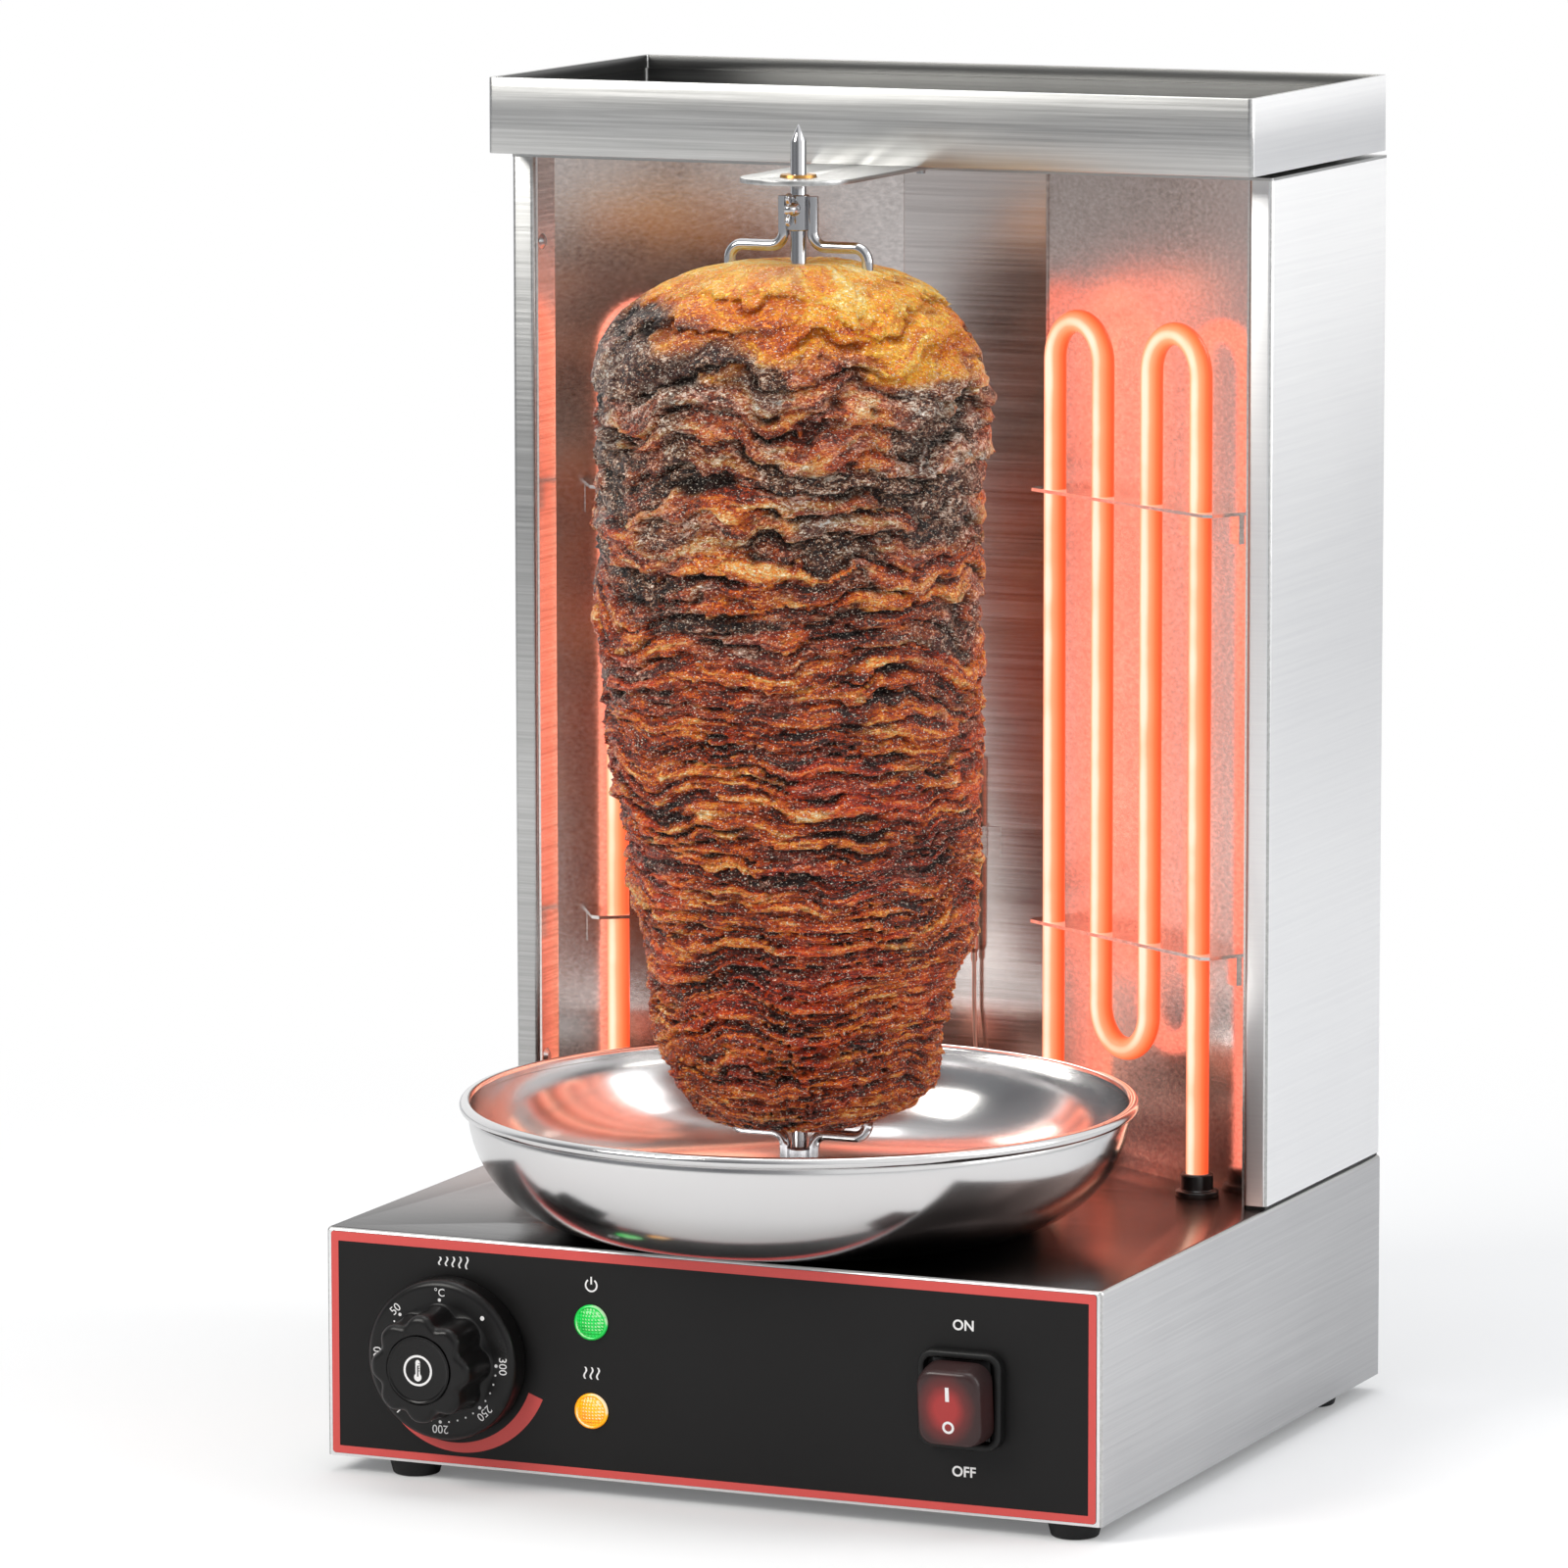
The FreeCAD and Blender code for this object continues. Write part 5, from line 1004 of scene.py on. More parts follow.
# %% [markdown]
# ## Knob
# The knob is moulded in black thermoset plastic: a skirt with a printed scale, a grip with eight scallops for
# the fingers, and a cap with a printed sign. It is spun first, and the scallops are then pressed into the
# grip by moving its points, deeper towards the outside, so that their edges stay soft as in a mould.

# %% Moulded black plastic
def moulded(name, colour, rough, grain=1.0, coat=0.0, shine=0.5):
    """Moulded plastic with a fine spark-eroded grain and slight clouding."""
    material, tree, surface = finish_of(name, Base_Color=colour, Roughness=rough, Coat_Weight=coat,
                                        Coat_Roughness=0.12, IOR=1.5)
    place = add(tree, "TexCoord")
    pits = add(tree, "TexNoise", {"Vector": place.outputs["Object"], "Scale": 1400.0, "Detail": 2.0})
    cloud = add(tree, "TexNoise", {"Vector": place.outputs["Object"], "Scale": 60.0, "Detail": 4.0})
    gloss = add(tree, "MapRange",
                {0: cloud.outputs["Fac"], 1: 0.25, 2: 0.75, 3: rough - 0.05, 4: rough + 0.08})
    tree.links.new(gloss.outputs[0], surface.inputs["Roughness"])
    surface.inputs["Specular IOR Level"].default_value = shine
    relief = add(tree, "Bump", {"Height": pits.outputs["Fac"], "Strength": 0.15 * grain, "Distance": 0.0001})
    tree.links.new(relief.outputs[0], surface.inputs["Normal"])
    return material


knob_plastic = moulded("black_thermoset", "#131212", 0.30, shine=0.3)
cap_plastic = moulded("black_cap_plastic", "#121111", 0.24, grain=0.5, shine=0.3)
print("plastics:", knob_plastic.name, cap_plastic.name)

# %% Knob body
knob_x, knob_z, panel_y = -119.5, 55.8, -150.0
skirt_face, grip_inner, scallops, scallop_depth = 13.45, 14.95, 8, 3.2
knob_section = ([(3.0, 3.0), (7.0, 3.0), (7.0, 10.0), (31.0, 10.0), (31.0, 2.0), (34.6, 2.0), (35.0, 2.4),
                 (35.0, 6.8)]
                + arc((31.6, 10.0), 3.4, 2, 90, 8) + [(25.4, 13.4)] + arc((25.4, 14.6), 1.2, 270, 190, 4)
                + [(23.8, 18.0), (23.5, 25.0)] + arc((20.1, 31.0), 3.4, 8, 90, 8)
                + [(17.8, 34.4), (15.3, 34.4), (14.9, 34.1), (14.9, 33.0), (3.0, 33.0), (3.0, 3.0)])
knob = lathe("knob_scalloped", knob_section, (knob_x, panel_y, knob_z), steps=192, axis=(0, -1, 0))
for vertex in knob.data.vertices:
    x, y, z = vertex.co.x / MM - knob_x, vertex.co.y / MM - panel_y, vertex.co.z / MM - knob_z
    reach, out, angle = math.hypot(x, z), -y, math.atan2(x, z)
    if out > skirt_face and reach > grip_inner:
        wave = 0.5 + 0.5 * math.cos(scallops * angle + math.pi)
        depth = scallop_depth * wave ** 1.7 * min(1.0, (reach - grip_inner) / 6.0)
        scale = (reach - depth) / reach
        vertex.co.x = (knob_x + x * scale) * MM
        vertex.co.z = (knob_z + z * scale) * MM
dressed(knob, knob_plastic, "knob", "knob_black", "knob")
cap = lathe("knob_cap_finished",
            [(0, 33.0), (14.6, 33.0), (14.6, 35.0), (14.3, 35.3), (13.9, 35.35), (13.4, 35.0), (12.9, 34.95),
             (0, 34.95)],
            (knob_x, panel_y, knob_z), steps=96, axis=(0, -1, 0))
dressed(cap, cap_plastic, "knob", "knob_cap_black", "knob_cap")
print("knob faces", len(knob.data.polygons), "cap faces", len(cap.data.polygons))

# %% [markdown]
# ## Printing
# The scale, the signs and the coloured border are screen-printed. Print is a film of ink a few hundredths of
# a millimetre thick, so each mark is a thin flat shape just in front of its surface. Letters are Blender text
# turned into a mesh. A helper lays a flat shape, drawn in mm to the right and upwards, on a plane facing
# front.

# %% Ink and flat marks
def ink(name, colour):
    """Screen-printing ink: even, slightly satin, with the faint mottle of a mesh print."""
    material, tree, surface = finish_of(name, Base_Color=colour, Roughness=0.5)
    place = add(tree, "TexCoord")
    mesh_print = add(tree, "TexNoise", {"Vector": place.outputs["Object"], "Scale": 900.0, "Detail": 1.0})
    tone = add(tree, "ValToRGB", {"Fac": mesh_print.outputs["Fac"]})
    shade = add(tree, "Mix", {0: 0.06, 6: colour, 7: tone.outputs["Color"]}, data_type="RGBA",
                blend_type="MULTIPLY")
    tree.links.new(shade.outputs[2], surface.inputs["Base Color"])
    return material


white_ink = ink("white_ink", "#EFEDEC")
red_ink = ink("red_ink", "#D9504B")
black_ink = ink("black_ink", "#1F1D1D")


def flat_mark(name, outline, place, out, thick=0.06):
    """A thin flat shape from an outline in mm around a centre (x, z), a distance in mm before the panel."""
    alone()
    bpy.ops.mesh.primitive_circle_add(vertices=len(outline), radius=1.0, fill_type="NGON")
    mark = bpy.context.object
    mark.name = name
    for vertex, (u, v) in zip(mark.data.vertices, outline):
        vertex.co = Vector((place[0] + u, panel_y - out, place[1] + v)) * MM
    bpy.ops.object.mode_set(mode="EDIT")
    bpy.ops.mesh.select_all(action="SELECT")
    bpy.ops.mesh.extrude_region_move(TRANSFORM_OT_translate={"value": (0, -thick * MM, 0)})
    bpy.ops.mesh.select_all(action="SELECT")
    bpy.ops.mesh.normals_make_consistent(inside=False)
    bpy.ops.object.mode_set(mode="OBJECT")
    return mark


def letters(name, words, place, size, out, turn=0.0, thick=0.06, bold=0.0):
    """Text as a thin mesh, centred on (x, z) in mm, size in mm per line height, turned clockwise."""
    alone()
    bpy.ops.object.text_add()
    text = bpy.context.object
    text.data.body = words
    text.data.align_x = "CENTER"
    text.data.align_y = "CENTER"
    text.data.size = size * MM
    text.data.extrude = thick * MM / 2
    text.data.offset = size * MM * bold
    text.data.resolution_u = 4
    bpy.ops.object.convert(target="MESH")
    text = bpy.context.object
    text.name = name
    text.matrix_world = (Matrix.Translation(Vector((place[0], panel_y - out, place[1])) * MM)
                         @ Matrix.Rotation(math.radians(turn), 4, "Y")
                         @ Matrix.Rotation(math.radians(90), 4, "X"))
    bpy.ops.object.transform_apply(location=True, rotation=True, scale=True)
    return text


def disc(radius, count=20):
    """Outline of a round dot."""
    return [(radius * math.cos(2 * math.pi * i / count), radius * math.sin(2 * math.pi * i / count))
            for i in range(count)]


print("inks:", white_ink.name, red_ink.name, black_ink.name)

# %% Scale on the knob's skirt
face_out = 13.4
index_ring, dot_ring, number_ring, unit_ring = 28.6, 26.6, 29.6, 29.7
scale_marks = []


def on_ring(radius, degrees):
    """Point on the knob's face, degrees counted from the right, counter-clockwise."""
    return (knob_x + radius * math.cos(math.radians(degrees)),
            knob_z + radius * math.sin(math.radians(degrees)))


scale_marks.append(flat_mark("mark", disc(1.0), on_ring(index_ring, 45), face_out))
for step in range(31):
    degrees = 90 + step * 9
    if step in (1, 2, 3, 4):
        continue
    size = 0.75 if step % 5 == 0 else 0.42
    scale_marks.append(flat_mark("mark", disc(size, 14), on_ring(dot_ring, degrees), face_out))
for number, degrees in ((50, 135), (100, 180), (150, 225), (200, 270), (250, 315), (300, 0)):
    x, z = on_ring(number_ring, degrees)
    scale_marks.append(letters("number", str(number), (x, z), 5.2, face_out, turn=90 - degrees))
x, z = on_ring(unit_ring, 90)
scale_marks.append(letters("degree", "°C", (x, z), 4.8, face_out))
dial_print = joined("knob_scale_print", scale_marks)
dressed(dial_print, white_ink, "knob", "knob_black")
print("scale marks:", len(scale_marks))

# %% Sign on the cap: a thermometer in a ring
def ring_mark(name, place, radius, line, out, start=0.0, sweep=360.0, count=64):
    """A flat band along a circle or part of one, its middle line at radius, all in mm."""
    outline = []
    for index in range(count + 1):
        outline.append((radius + line / 2, start + sweep * index / count))
    for index in range(count, -1, -1):
        outline.append((radius - line / 2, start + sweep * index / count))
    points = [(r * math.cos(math.radians(a)), r * math.sin(math.radians(a))) for r, a in outline]
    return flat_mark(name, points, place, out)


cap_centre = (knob_x, knob_z)
cap_out = 34.97
stem = [(1.05 * math.cos(a), 3.6 + 1.05 * math.sin(a)) for a in np.linspace(0, math.pi, 8)]
bulb = [(1.75 * math.cos(a), -2.9 + 1.75 * math.sin(a))
        for a in np.linspace(math.radians(127), math.radians(413), 20)]
thermometer = flat_mark("stem", stem + bulb, cap_centre, cap_out)
cap_print = joined("knob_cap_print", [ring_mark("ring", cap_centre, 6.25, 0.95, cap_out), thermometer])
dressed(cap_print, white_ink, "knob", "knob_cap_black")
gauge = [flat_mark("column", [(-0.28, -2.6), (0.28, -2.6), (0.28, 2.2), (-0.28, 2.2)], cap_centre,
                   cap_out + 0.07)]
for tick in range(4):
    height = -0.2 + tick * 1.05
    gauge.append(flat_mark("tick", [(0.28, height), (0.9, height), (0.9, height + 0.3), (0.28, height + 0.3)],
                           cap_centre, cap_out + 0.07))
gauge_print = joined("knob_cap_gauge", gauge)
dressed(gauge_print, black_ink, "knob", "knob_cap_black")
print("cap sign faces:", len(cap_print.data.polygons) + len(gauge_print.data.polygons))

# %% [markdown]
# ## Front overlay
# The panel is a polyester film, printed black with a red border and a red wedge that grows with the heat
# setting round the knob. The film itself is the CAD node with a satin black finish. The print sits on it.

# %% Film, border, wedge and signs
film, tree, surface = finish_of("satin_black_film", Base_Color="#161515", Roughness=0.42,
                                Specular_IOR_Level=0.25)
place = add(tree, "TexCoord")
orange_peel = add(tree, "TexNoise", {"Vector": place.outputs["Object"], "Scale": 850.0, "Detail": 2.0})
cloud = add(tree, "TexNoise", {"Vector": place.outputs["Object"], "Scale": 18.0, "Detail": 3.0})
gloss = add(tree, "MapRange", {0: cloud.outputs["Fac"], 1: 0.3, 2: 0.7, 3: 0.38, 4: 0.5})
tree.links.new(gloss.outputs[0], surface.inputs["Roughness"])
relief = add(tree, "Bump", {"Height": orange_peel.outputs["Fac"], "Strength": 0.08, "Distance": 0.0001})
tree.links.new(relief.outputs[0], surface.inputs["Normal"])


def finish_node(node, material):
    """Puts a finish on a CAD node that is kept as it is."""
    source = frame["nodes"][node]
    source.data.materials.clear()
    source.data.materials.append(material)


finish_node("front_overlay", film)


def rounded_outline(half_w, half_h, corner, count=6):
    """Outline of a rectangle with round corners about its centre, counter-clockwise from the right."""
    points = []
    for centre_x, centre_z, start in ((1, 1, 0), (-1, 1, 90), (-1, -1, 180), (1, -1, 270)):
        points += arc((centre_x * (half_w - corner), centre_z * (half_h - corner)), corner, start, start + 90,
                      count)
    return points


def loft(name, rings, closed=False):
    """Skin over rings of points in mm that all have the same count; open ends are filled."""
    alone()
    around_count, ring_count = len(rings[0]), len(rings)
    bpy.ops.mesh.primitive_grid_add(x_subdivisions=around_count, y_subdivisions=ring_count - 1, size=2.0)
    piece = bpy.context.object
    piece.name = name
    for index, vertex in enumerate(piece.data.vertices):
        row, column = divmod(index, around_count + 1)
        vertex.co = Vector(rings[row][column % around_count]) * MM
    bpy.ops.object.mode_set(mode="EDIT")
    bpy.ops.mesh.select_all(action="SELECT")
    bpy.ops.mesh.remove_doubles(threshold=1e-6)
    if not closed:
        bpy.ops.mesh.select_all(action="DESELECT")
        bpy.ops.mesh.select_non_manifold()
        bpy.ops.mesh.edge_face_add()
    bpy.ops.mesh.select_all(action="SELECT")
    bpy.ops.mesh.normals_make_consistent(inside=False)
    bpy.ops.object.mode_set(mode="OBJECT")
    bpy.ops.object.shade_smooth_by_angle(angle=math.radians(35))
    return piece


def facing(points, centre, out):
    """Places outline points about a centre (x, z) on a plane a distance in mm before the panel."""
    return [(centre[0] + u, panel_y - out, centre[1] + v) for u, v in points]


film_out, print_thick = 0.31, 0.06
film_low, film_high = 8.3, 106.0
border_centre = (0.0, (film_low + film_high) / 2)
border_outer = rounded_outline(177.4, (film_high - film_low) / 2 - 0.1, 1.4)
border_inner = [(u, v - 0.4) for u, v in rounded_outline(174.0, 45.05, 0.3)]
border = loft("panel_border", [facing(outline, border_centre, out) for outline, out in
                               ((border_outer, film_out), (border_inner, film_out),
                                (border_inner, film_out + print_thick),
                                (border_outer, film_out + print_thick),
                                (border_outer, film_out))], closed=True)
wedge_start, wedge_sweep, wedge_inner = 216.0, 123.5, 38.2
wedge_outline = []
for share in np.linspace(0, 1, 60):
    degrees = wedge_start + share * wedge_sweep
    reach = 38.6 + 6.7 * share ** 0.75
    wedge_outline.append((reach * math.cos(math.radians(degrees)), reach * math.sin(math.radians(degrees))))
for share in np.linspace(1, 0, 60):
    degrees = wedge_start + share * wedge_sweep
    wedge_outline.append((wedge_inner * math.cos(math.radians(degrees)),
                          wedge_inner * math.sin(math.radians(degrees))))
wedge = flat_mark("heat_wedge", wedge_outline, (knob_x, knob_z), film_out)
red_print = joined("panel_print_red", [border, wedge])
dressed(red_print, red_ink, "frame", "printed_overlay")
print("red print faces:", len(red_print.data.polygons))

# %% [markdown]
# The words of the photograph's panel are left out. Signs that everyone knows stand in their places: a row of
# rising heat for the knob, the standard power sign over the green lamp and a small flame-like wave over the
# amber lamp. ON and OFF stay, and read properly.

# %% White signs
def wave(name, place, height, width, line, out):
    """A wavy upright line, as used for rising heat."""
    spots = np.linspace(-0.5, 0.5, 25)
    left = [(width * math.sin(v * 2 * math.pi) - line / 2, v * height) for v in spots]
    right = [(width * math.sin(v * 2 * math.pi) + line / 2, v * height) for v in spots[::-1]]
    return flat_mark(name, right[::-1] + left[::-1], place, out)


signs = [letters("on", "ON", (117.6, 88.0), 6.2, film_out + 0.03, bold=0.022),
         letters("off", "OFF", (117.9, 25.4), 6.2, film_out + 0.03, bold=0.022)]
for step in range(5):
    signs.append(wave("heat", (-125.5 + step * 3.2, 96.6), 3.6 + step * 0.45, 0.5, 0.8, film_out))
power_place = (-54.0, 91.6)
signs.append(ring_mark("power", power_place, 2.6, 0.75, film_out, start=125, sweep=290, count=40))
signs.append(flat_mark("power", [(-0.38, 0.4), (0.38, 0.4), (0.38, 3.7), (-0.38, 3.7)], power_place,
                       film_out))
for step in range(3):
    signs.append(wave("hot", (-57.0 + step * 3.0, 53.4), 5.2, 0.55, 0.8, film_out))
white_print = joined("panel_print_white", signs)
dressed(white_print, white_ink, "frame", "printed_overlay")
print("white print faces:", len(white_print.data.polygons))

# %% [markdown]
# ## Pilot lamps
# A pilot lamp is a clear coloured cap with a grid of small prisms moulded inside, which break up the light of
# the glow lamp behind it. Here the prisms are on the front, as tiny pyramids on a dome, inside a smooth rim.
# The sides of the prisms that point up and to the right get a painted highlight, as in the photograph.

# %% Lens with a prism grid
lamp_x, lens_reach, prism_height = -54.0, 6.7, 0.42


def lens_finish(name, dark, colour, bright, glow):
    """Clear coloured plastic that glows from the lamp behind it; prism faces that point right and up get a
    painted highlight.
    """
    material, tree, surface = finish_of(name, Base_Color=colour, Roughness=0.2, IOR=1.49, Coat_Weight=0.2)
    place = add(tree, "TexCoord")
    small = add(tree, "TexNoise", {"Vector": place.outputs["Object"], "Scale": 420.0, "Detail": 2.0})
    # Painted highlight: faces turned up and to the right are painted brighter.
    prism_highlight_facing = add(tree, "VectorMath", {0: add(tree, "NewGeometry").outputs["Normal"], 1: (0.62, -0.35, 0.55)},
                 operation="DOT_PRODUCT")
    light = add(tree, "MapRange", {0: prism_highlight_facing.outputs["Value"], 1: -0.05, 2: 0.75, 3: 0.0, 4: 0.8})
    mottle_and_painted_highlight = add(tree, "Math", {0: small.outputs["Fac"], 1: 0.4, 2: light.outputs[0]},
                 operation="MULTIPLY_ADD")
    tone = add(tree, "ValToRGB", {"Fac": mottle_and_painted_highlight.outputs[0]},
               stops=[(0.20, dark), (0.50, colour), (0.85, bright), (1.0, "#F4FFE4")])
    tree.links.new(tone.outputs["Color"], surface.inputs["Emission Color"])
    surface.inputs["Emission Strength"].default_value = glow
    return material


def prism_lens(name, height, material, slot, node):
    """Rim and prism dome of a lamp whose centre is at a height in mm."""
    centre = (lamp_x, height)
    rim = lathe("rim",
                [(6.1, 0.4), (6.1, 1.2), (6.4, 1.75), (6.8, 1.95), (7.2, 1.85), (7.6, 1.4), (7.72, 0.9),
                 (7.72, 0.4), (6.1, 0.4)],
                (centre[0], panel_y, centre[1]), steps=64, axis=(0, -1, 0))
    cells, half = 9, 6.55
    alone()
    bpy.ops.mesh.primitive_grid_add(x_subdivisions=cells * 2, y_subdivisions=cells * 2, size=2 * half)
    dome = bpy.context.object
    for index, vertex in enumerate(dome.data.vertices):
        column, row = index % (cells * 2 + 1), index // (cells * 2 + 1)
        u, v = vertex.co.x, vertex.co.y
        reach = min(1.0, math.hypot(u, v) / 6.6)
        peak = prism_height if column % 2 and row % 2 else 0.0
        rise_here = 1.15 + 2.25 * (1 - reach ** 2) + peak
        vertex.co = Vector((centre[0] + u, panel_y - rise_here, centre[1] + v)) * MM
    bpy.ops.object.mode_set(mode="EDIT")
    bpy.ops.mesh.select_all(action="DESELECT")
    bpy.ops.object.mode_set(mode="OBJECT")
    for face in dome.data.polygons:
        out = face.center / MM - Vector((centre[0], 0, centre[1]))
        face.select = math.hypot(out.x, out.z) > lens_reach
    bpy.ops.object.mode_set(mode="EDIT")
    bpy.ops.mesh.delete(type="FACE")
    bpy.ops.mesh.select_all(action="SELECT")
    bpy.ops.mesh.quads_convert_to_tris(quad_method="SHORTEST_DIAGONAL")
    bpy.ops.mesh.normals_make_consistent(inside=False)
    bpy.ops.object.mode_set(mode="OBJECT")
    lens = joined(name, [rim, dome])
    dressed(lens, material, "frame", slot, node)
    return lens


green = prism_lens("lamp_green_prisms", 75.5,
                   lens_finish("clear_green_lens", "#033A14", "#0BAE3C", "#3CF477", 0.5),
                   "lens_green", "lamp_lens_green")
amber = prism_lens("lamp_amber_prisms", 37.0,
                   lens_finish("clear_amber_lens", "#7A3E02", "#EE9506", "#FFCB2E", 0.62),
                   "lens_amber", "lamp_lens_amber")
print("lens faces:", len(green.data.polygons), len(amber.data.polygons))

# %% [markdown]
# ## Splash-proof switch
# The rocker sits under a soft clear boot in a black frame. The boot is smoky, its middle glows red from the
# lamp in the rocker, and the signs I and O of the rocker show through it. Boot and rocker tilt together. At
# rest their upper end leans outwards.

# %% Frame round the boot
switch_centre = (117.5, 57.0)
frame_rings = []
for grow, out in ((-3.1, 0.3), (-3.1, 4.6), (-2.9, 5.2), (-2.3, 5.55), (-1.2, 5.6), (-0.5, 5.3), (-0.1, 4.7),
                  (0.0, 3.8), (0.0, 0.3), (-3.1, 0.3)):
    frame_rings.append(facing(rounded_outline(19.0 + grow, 21.0 + grow, 7.0 + grow, 9), switch_centre, out))
boot_frame = loft("boot_frame_moulded", frame_rings, closed=True)
rubber_black = moulded("black_rubber_frame", "#161616", 0.42, grain=1.4, shine=0.3)
dressed(boot_frame, rubber_black, "frame", "boot_frame_black", "boot_frame")
print("boot frame faces:", len(boot_frame.data.polygons))

# %% Soft boot, tilted like the rocker under it
boot_tilt = math.radians(5.6)
pivot = Vector((switch_centre[0], -152.0, switch_centre[1]))


def tilt_boot(points):
    """Turns points about the rocker's pivot, top outwards."""
    turned = Matrix.Rotation(boot_tilt, 3, "X")
    return [pivot + turned @ (Vector(point) - pivot) for point in points]


boot_rings = []
for shrink, out in ((0.0, 4.6), (0.1, 8.0), (0.5, 12.0), (0.9, 14.6), (1.25, 15.9), (1.9, 16.7), (2.9, 17.15),
                    (4.5, 17.3), (8.0, 17.4), (12.0, 17.45)):
    corner = max(1.0, 7.6 - shrink * 0.6)
    outline = rounded_outline(15.3 - shrink, 17.3 - shrink, corner, 9)
    boot_rings.append(tilt_boot(facing(outline, switch_centre, out)))
boot = loft("switch_boot_smoky", boot_rings)
boot_skin, tree, surface = finish_of("smoky_soft_boot", Base_Color="#241C1C", Roughness=0.34, IOR=1.43,
                                     Specular_IOR_Level=0.35, Coat_Weight=0.2, Coat_Roughness=0.2)
place = add(tree, "TexCoord")
from_middle = add(tree, "VectorMath", {0: place.outputs["Object"], 1: (0.1165, -0.169, 0.0555)},
                  operation="SUBTRACT")
squeezed = add(tree, "VectorMath", {0: from_middle.outputs[0], 1: (1.0, 0.35, 0.85)}, operation="MULTIPLY")
reach = add(tree, "VectorMath", {0: squeezed.outputs[0]}, operation="LENGTH")
soft = add(tree, "TexNoise", {"Vector": place.outputs["Object"], "Scale": 160.0, "Detail": 3.0})
wobble = add(tree, "Math", {0: soft.outputs["Fac"], 1: 0.0016, 2: reach.outputs["Value"]},
             operation="MULTIPLY_ADD")
spot = add(tree, "ValToRGB",
           {"Fac": add(tree, "Math", {0: wobble.outputs[0], 1: 46.0}, operation="MULTIPLY").outputs[0]},
           stops=[(0.0, "#D03A38"), (0.26, "#CC3836"), (0.46, "#7A2422"), (0.66, "#3A1A19"),
                  (1.0, "#191212")])
tree.links.new(spot.outputs["Color"], surface.inputs["Emission Color"])
surface.inputs["Emission Strength"].default_value = 0.62
relief = add(tree, "Bump", {"Height": soft.outputs["Fac"], "Strength": 0.12, "Distance": 0.0005})
tree.links.new(relief.outputs[0], surface.inputs["Normal"])
dressed(boot, boot_skin, "rocker", "boot_clear", "switch_boot")
print("boot faces:", len(boot.data.polygons))

# %% Signs I and O on the rocker
sign_out = 17.46
stroke = flat_mark("one", [(-0.85, -3.1), (0.85, -3.1), (0.85, 3.1), (-0.85, 3.1)],
                   (switch_centre[0], 63.6), sign_out)
zero = ring_mark("zero", (switch_centre[0], 49.2), 2.15, 1.05, sign_out, count=40)
switch_signs = joined("switch_signs", [stroke, zero])
for vertex in switch_signs.data.vertices:
    vertex.co = tilt_boot([vertex.co / MM])[0] * MM
dressed(switch_signs, white_ink, "rocker", "boot_clear")

# %% [markdown]
# ## Feet and bushings
# The feet are moulded rubber cones with a soft lower edge, and a recess for the screw head. The heater ends
# pass the deck in black heat-proof bushings. The thermostat's bulb is a plated tube, crimped where the thin
# tube enters; it keeps its CAD shape and gets its plated finish further on.

# %% Rubber feet
feet = []
for foot_x in (-143.5, 163.0):
    for foot_y in (-137.5, 147.0):
        section = ([(2.0, 3.2), (5.2, 3.2), (5.2, 0.3), (5.5, 0.0), (9.0, 0.0)]
                   + arc((9.1, 1.2), 1.2, -80, -5, 5)
                   + [(11.6, 6.0), (12.0, 6.6), (12.0, 7.0), (2.0, 7.0), (2.0, 3.2)])
        feet.append(lathe("foot", section, (foot_x, foot_y, 0), steps=56))
feet = joined("rubber_feet_moulded", feet)
foot_rubber = moulded("black_foot_rubber", "#1C1C1D", 0.6, grain=1.6, shine=0.3)
dressed(feet, foot_rubber, "frame", "foot_rubber", "rubber_feet")
print("feet size in mm:", [round(v / MM, 1) for v in feet.dimensions])

# %% Heat-proof bushings
bushings = []
for side in (-1, 1):
    ends = heater_path(side)
    for end in (ends[0], ends[-1]):
        section = ([(5.05, -6.9), (7.1, -6.9), (7.1, 0.0), (9.3, 0.0), (9.5, 0.3), (9.5, 1.7)]
                   + arc((8.7, 1.7), 0.8, 10, 90, 5)
                   + [(7.5, 2.6), (7.1, 3.0), (7.1, 8.8)] + arc((6.0, 8.8), 1.1, 10, 90, 5)
                   + [(5.05, 9.9), (5.05, -6.9)])
        bushings.append(lathe("bushing", section, (end.x, end.y, deck), steps=48))
bushings = joined("heater_bushings_turned", bushings)
steatite = moulded("black_glazed_bushing", "#161414", 0.3, grain=0.8, coat=0.3)
dressed(bushings, steatite, "frame", "bushing_black", "heater_bushings")
print("bushing faces:", len(bushings.data.polygons))

# %% [markdown]
# ## Finishes for the pieces that stay as they are
# Reflector sheets, brackets, screws and all that is inside keep their CAD shape and get the finish of their
# real material. Plated screws are smooth, cast metal is grainy, and lacquer is even.

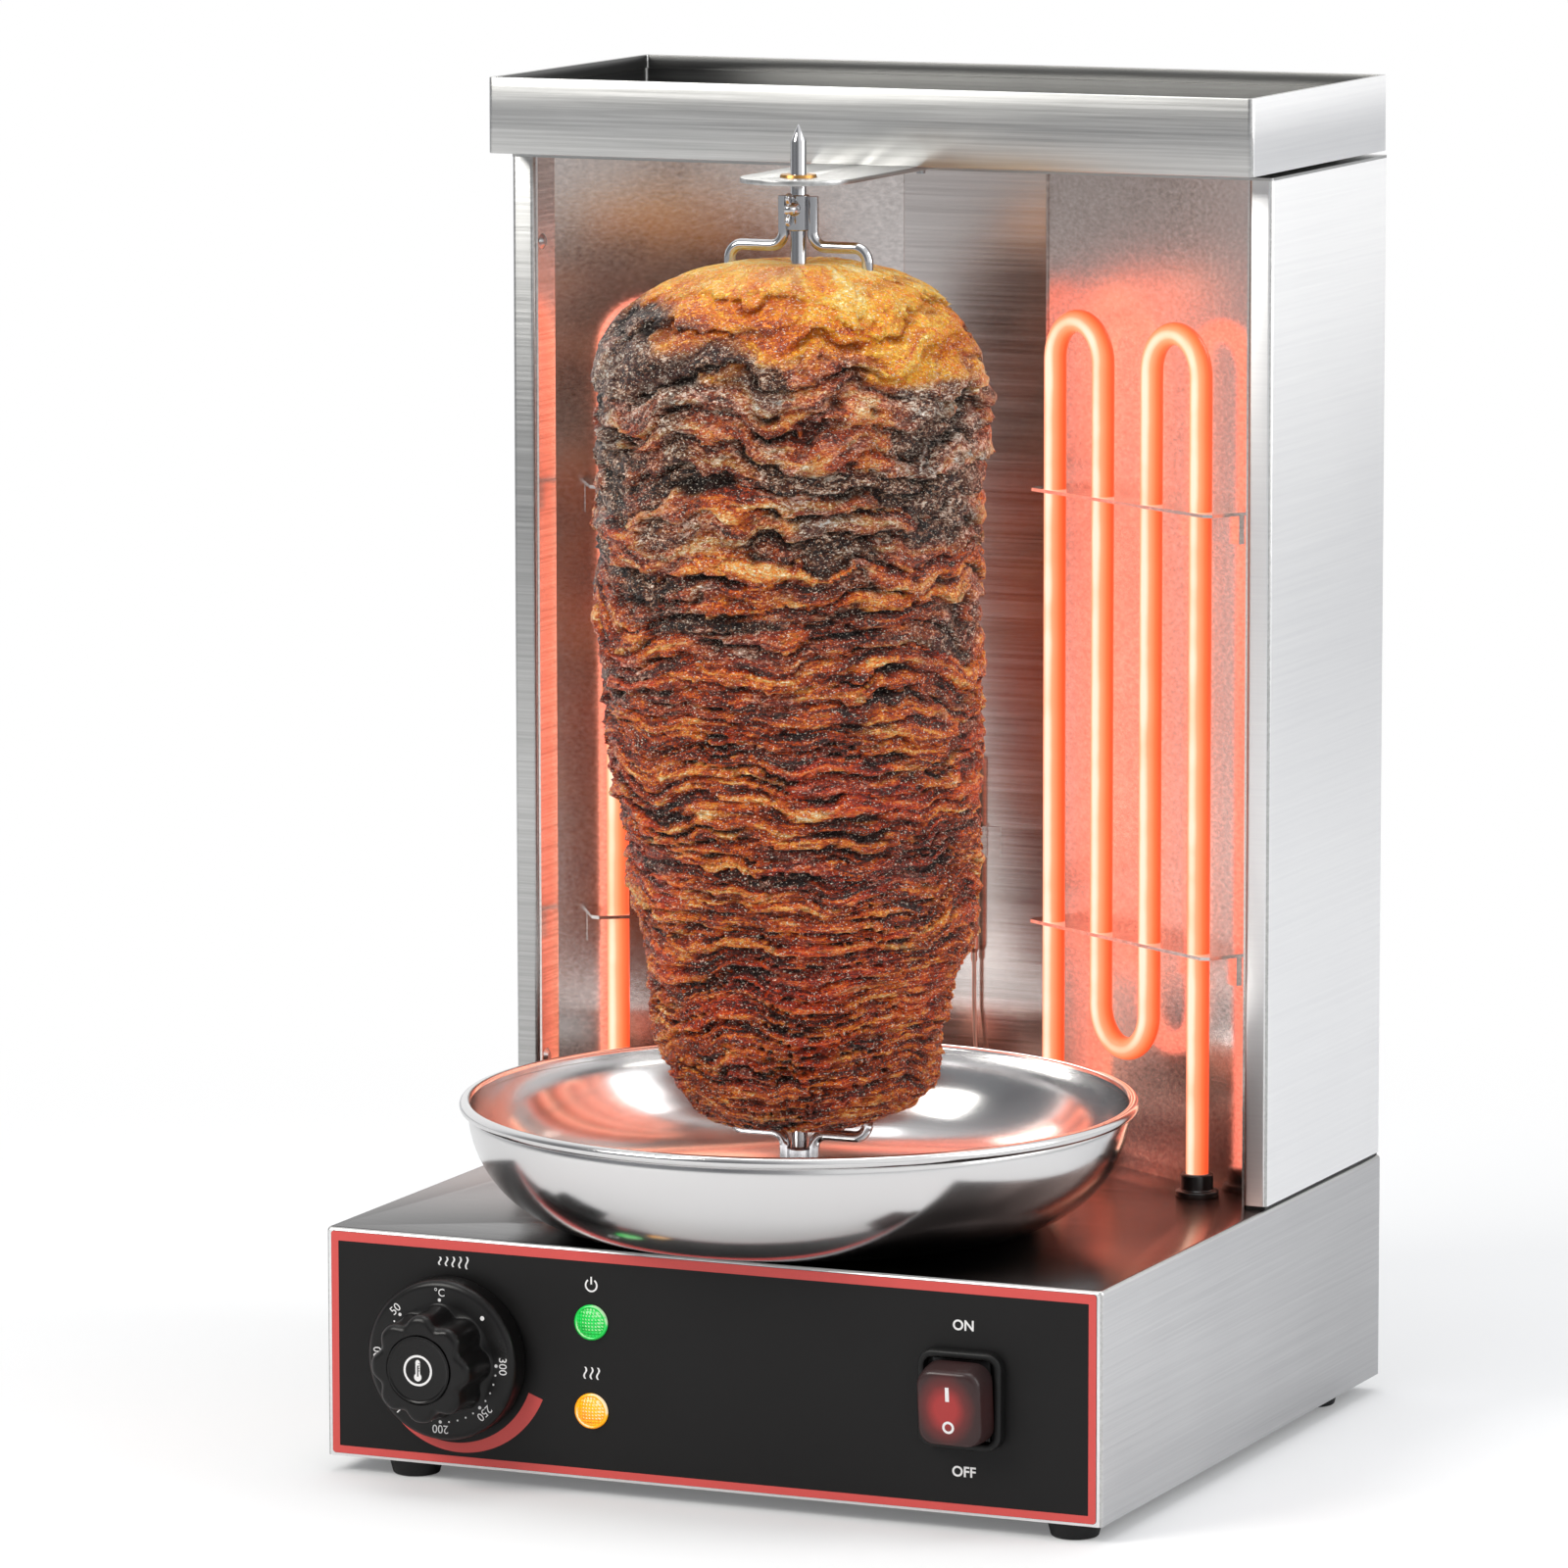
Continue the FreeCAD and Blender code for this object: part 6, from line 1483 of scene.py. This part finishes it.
# %% Plain finishes
def plain(name, colour, rough, metallic=0.0, grain_scale=600.0, relief_depth=0.1, mottle=0.12):
    """Even finish with a fine grain and a slight change of tone."""
    material, tree, surface = finish_of(name, Base_Color=colour, Roughness=rough, Metallic=metallic)
    place = add(tree, "TexCoord")
    grain_noise = add(tree, "TexNoise",
                      {"Vector": place.outputs["Object"], "Scale": grain_scale, "Detail": 3.0})
    cloud = add(tree, "TexNoise", {"Vector": place.outputs["Object"], "Scale": 70.0, "Detail": 3.0})
    shade = add(tree, "MapRange", {0: cloud.outputs["Fac"], 1: 0.3, 2: 0.7, 3: 1.0 - mottle, 4: 1.0})
    tone = add(tree, "Mix", {0: 1.0, 6: colour, 7: shade.outputs[0]}, data_type="RGBA", blend_type="MULTIPLY")
    tree.links.new(tone.outputs[2], surface.inputs["Base Color"])
    relief = add(tree, "Bump",
                 {"Height": grain_noise.outputs["Fac"], "Strength": relief_depth, "Distance": 0.0002})
    tree.links.new(relief.outputs[0], surface.inputs["Normal"])
    return material


zinc = plain("bright_zinc_plating", "#BFC3C6", 0.28, metallic=1.0)
cast = plain("as_cast_aluminium", "#A9ABAC", 0.55, metallic=1.0, relief_depth=0.6)
lacquer = plain("black_lacquered_steel", "#1A1A1B", 0.3)
bronze = plain("plain_bronze", "#B98A4C", 0.32, metallic=1.0)
nylon = plain("white_nylon_turned", "#DAD8D0", 0.48)
seal = plain("black_silicone_seal", "#141415", 0.6)
polyamide = plain("black_polyamide", "#1C1C1D", 0.45, relief_depth=0.3)
ivory = plain("ivory_terminal_plastic", "#E3DCC6", 0.4)
plated = plain("tinned_copper_tube", "#B9A79A", 0.3, metallic=1.0)
red_plastic = plain("lit_red_rocker", "#8E1512", 0.3)
kept = {
    "reflector_right": mirror_steel, "reflector_left": mirror_steel, "reflector_middle": mirror_steel,
    "heater_bracket_right_lower": mirror_steel, "heater_bracket_right_upper": mirror_steel,
    "heater_bracket_left_lower": mirror_steel, "heater_bracket_left_upper": mirror_steel,
    "bulb_clip": mirror_steel,
    "rear_cover": stainless, "ceiling_sheet": stainless, "tray_spacers": galvanised,
    "bottom_plate": galvanised,
    "motor_hanger": galvanised, "seam_gasket": seal, "capillary_grommet": seal, "foot_screws": zinc,
    "bracket_screws": zinc, "top_screws": zinc, "reflector_rivets": zinc, "output_shaft": zinc,
    "thermostat_spindle": zinc, "bushing_nuts": steatite, "bearing_bush": bronze, "deck_bush": nylon,
    "drive_socket": spit_polish, "gearcase": cast, "motor": lacquer, "thermostat": polyamide,
    "lamp_body_green": polyamide, "lamp_body_amber": polyamide, "switch_body": polyamide,
    "cable_gland": polyamide,
    "switch_rocker": red_plastic, "terminal_block": ivory, "thermostat_bulb": plated,
    "capillary_tube": plated}
for node, material in kept.items():
    finish_node(node, material)
print("finished CAD nodes:", len(kept) + 1)

# %% [markdown]
# ## End

# %% Import json
import json
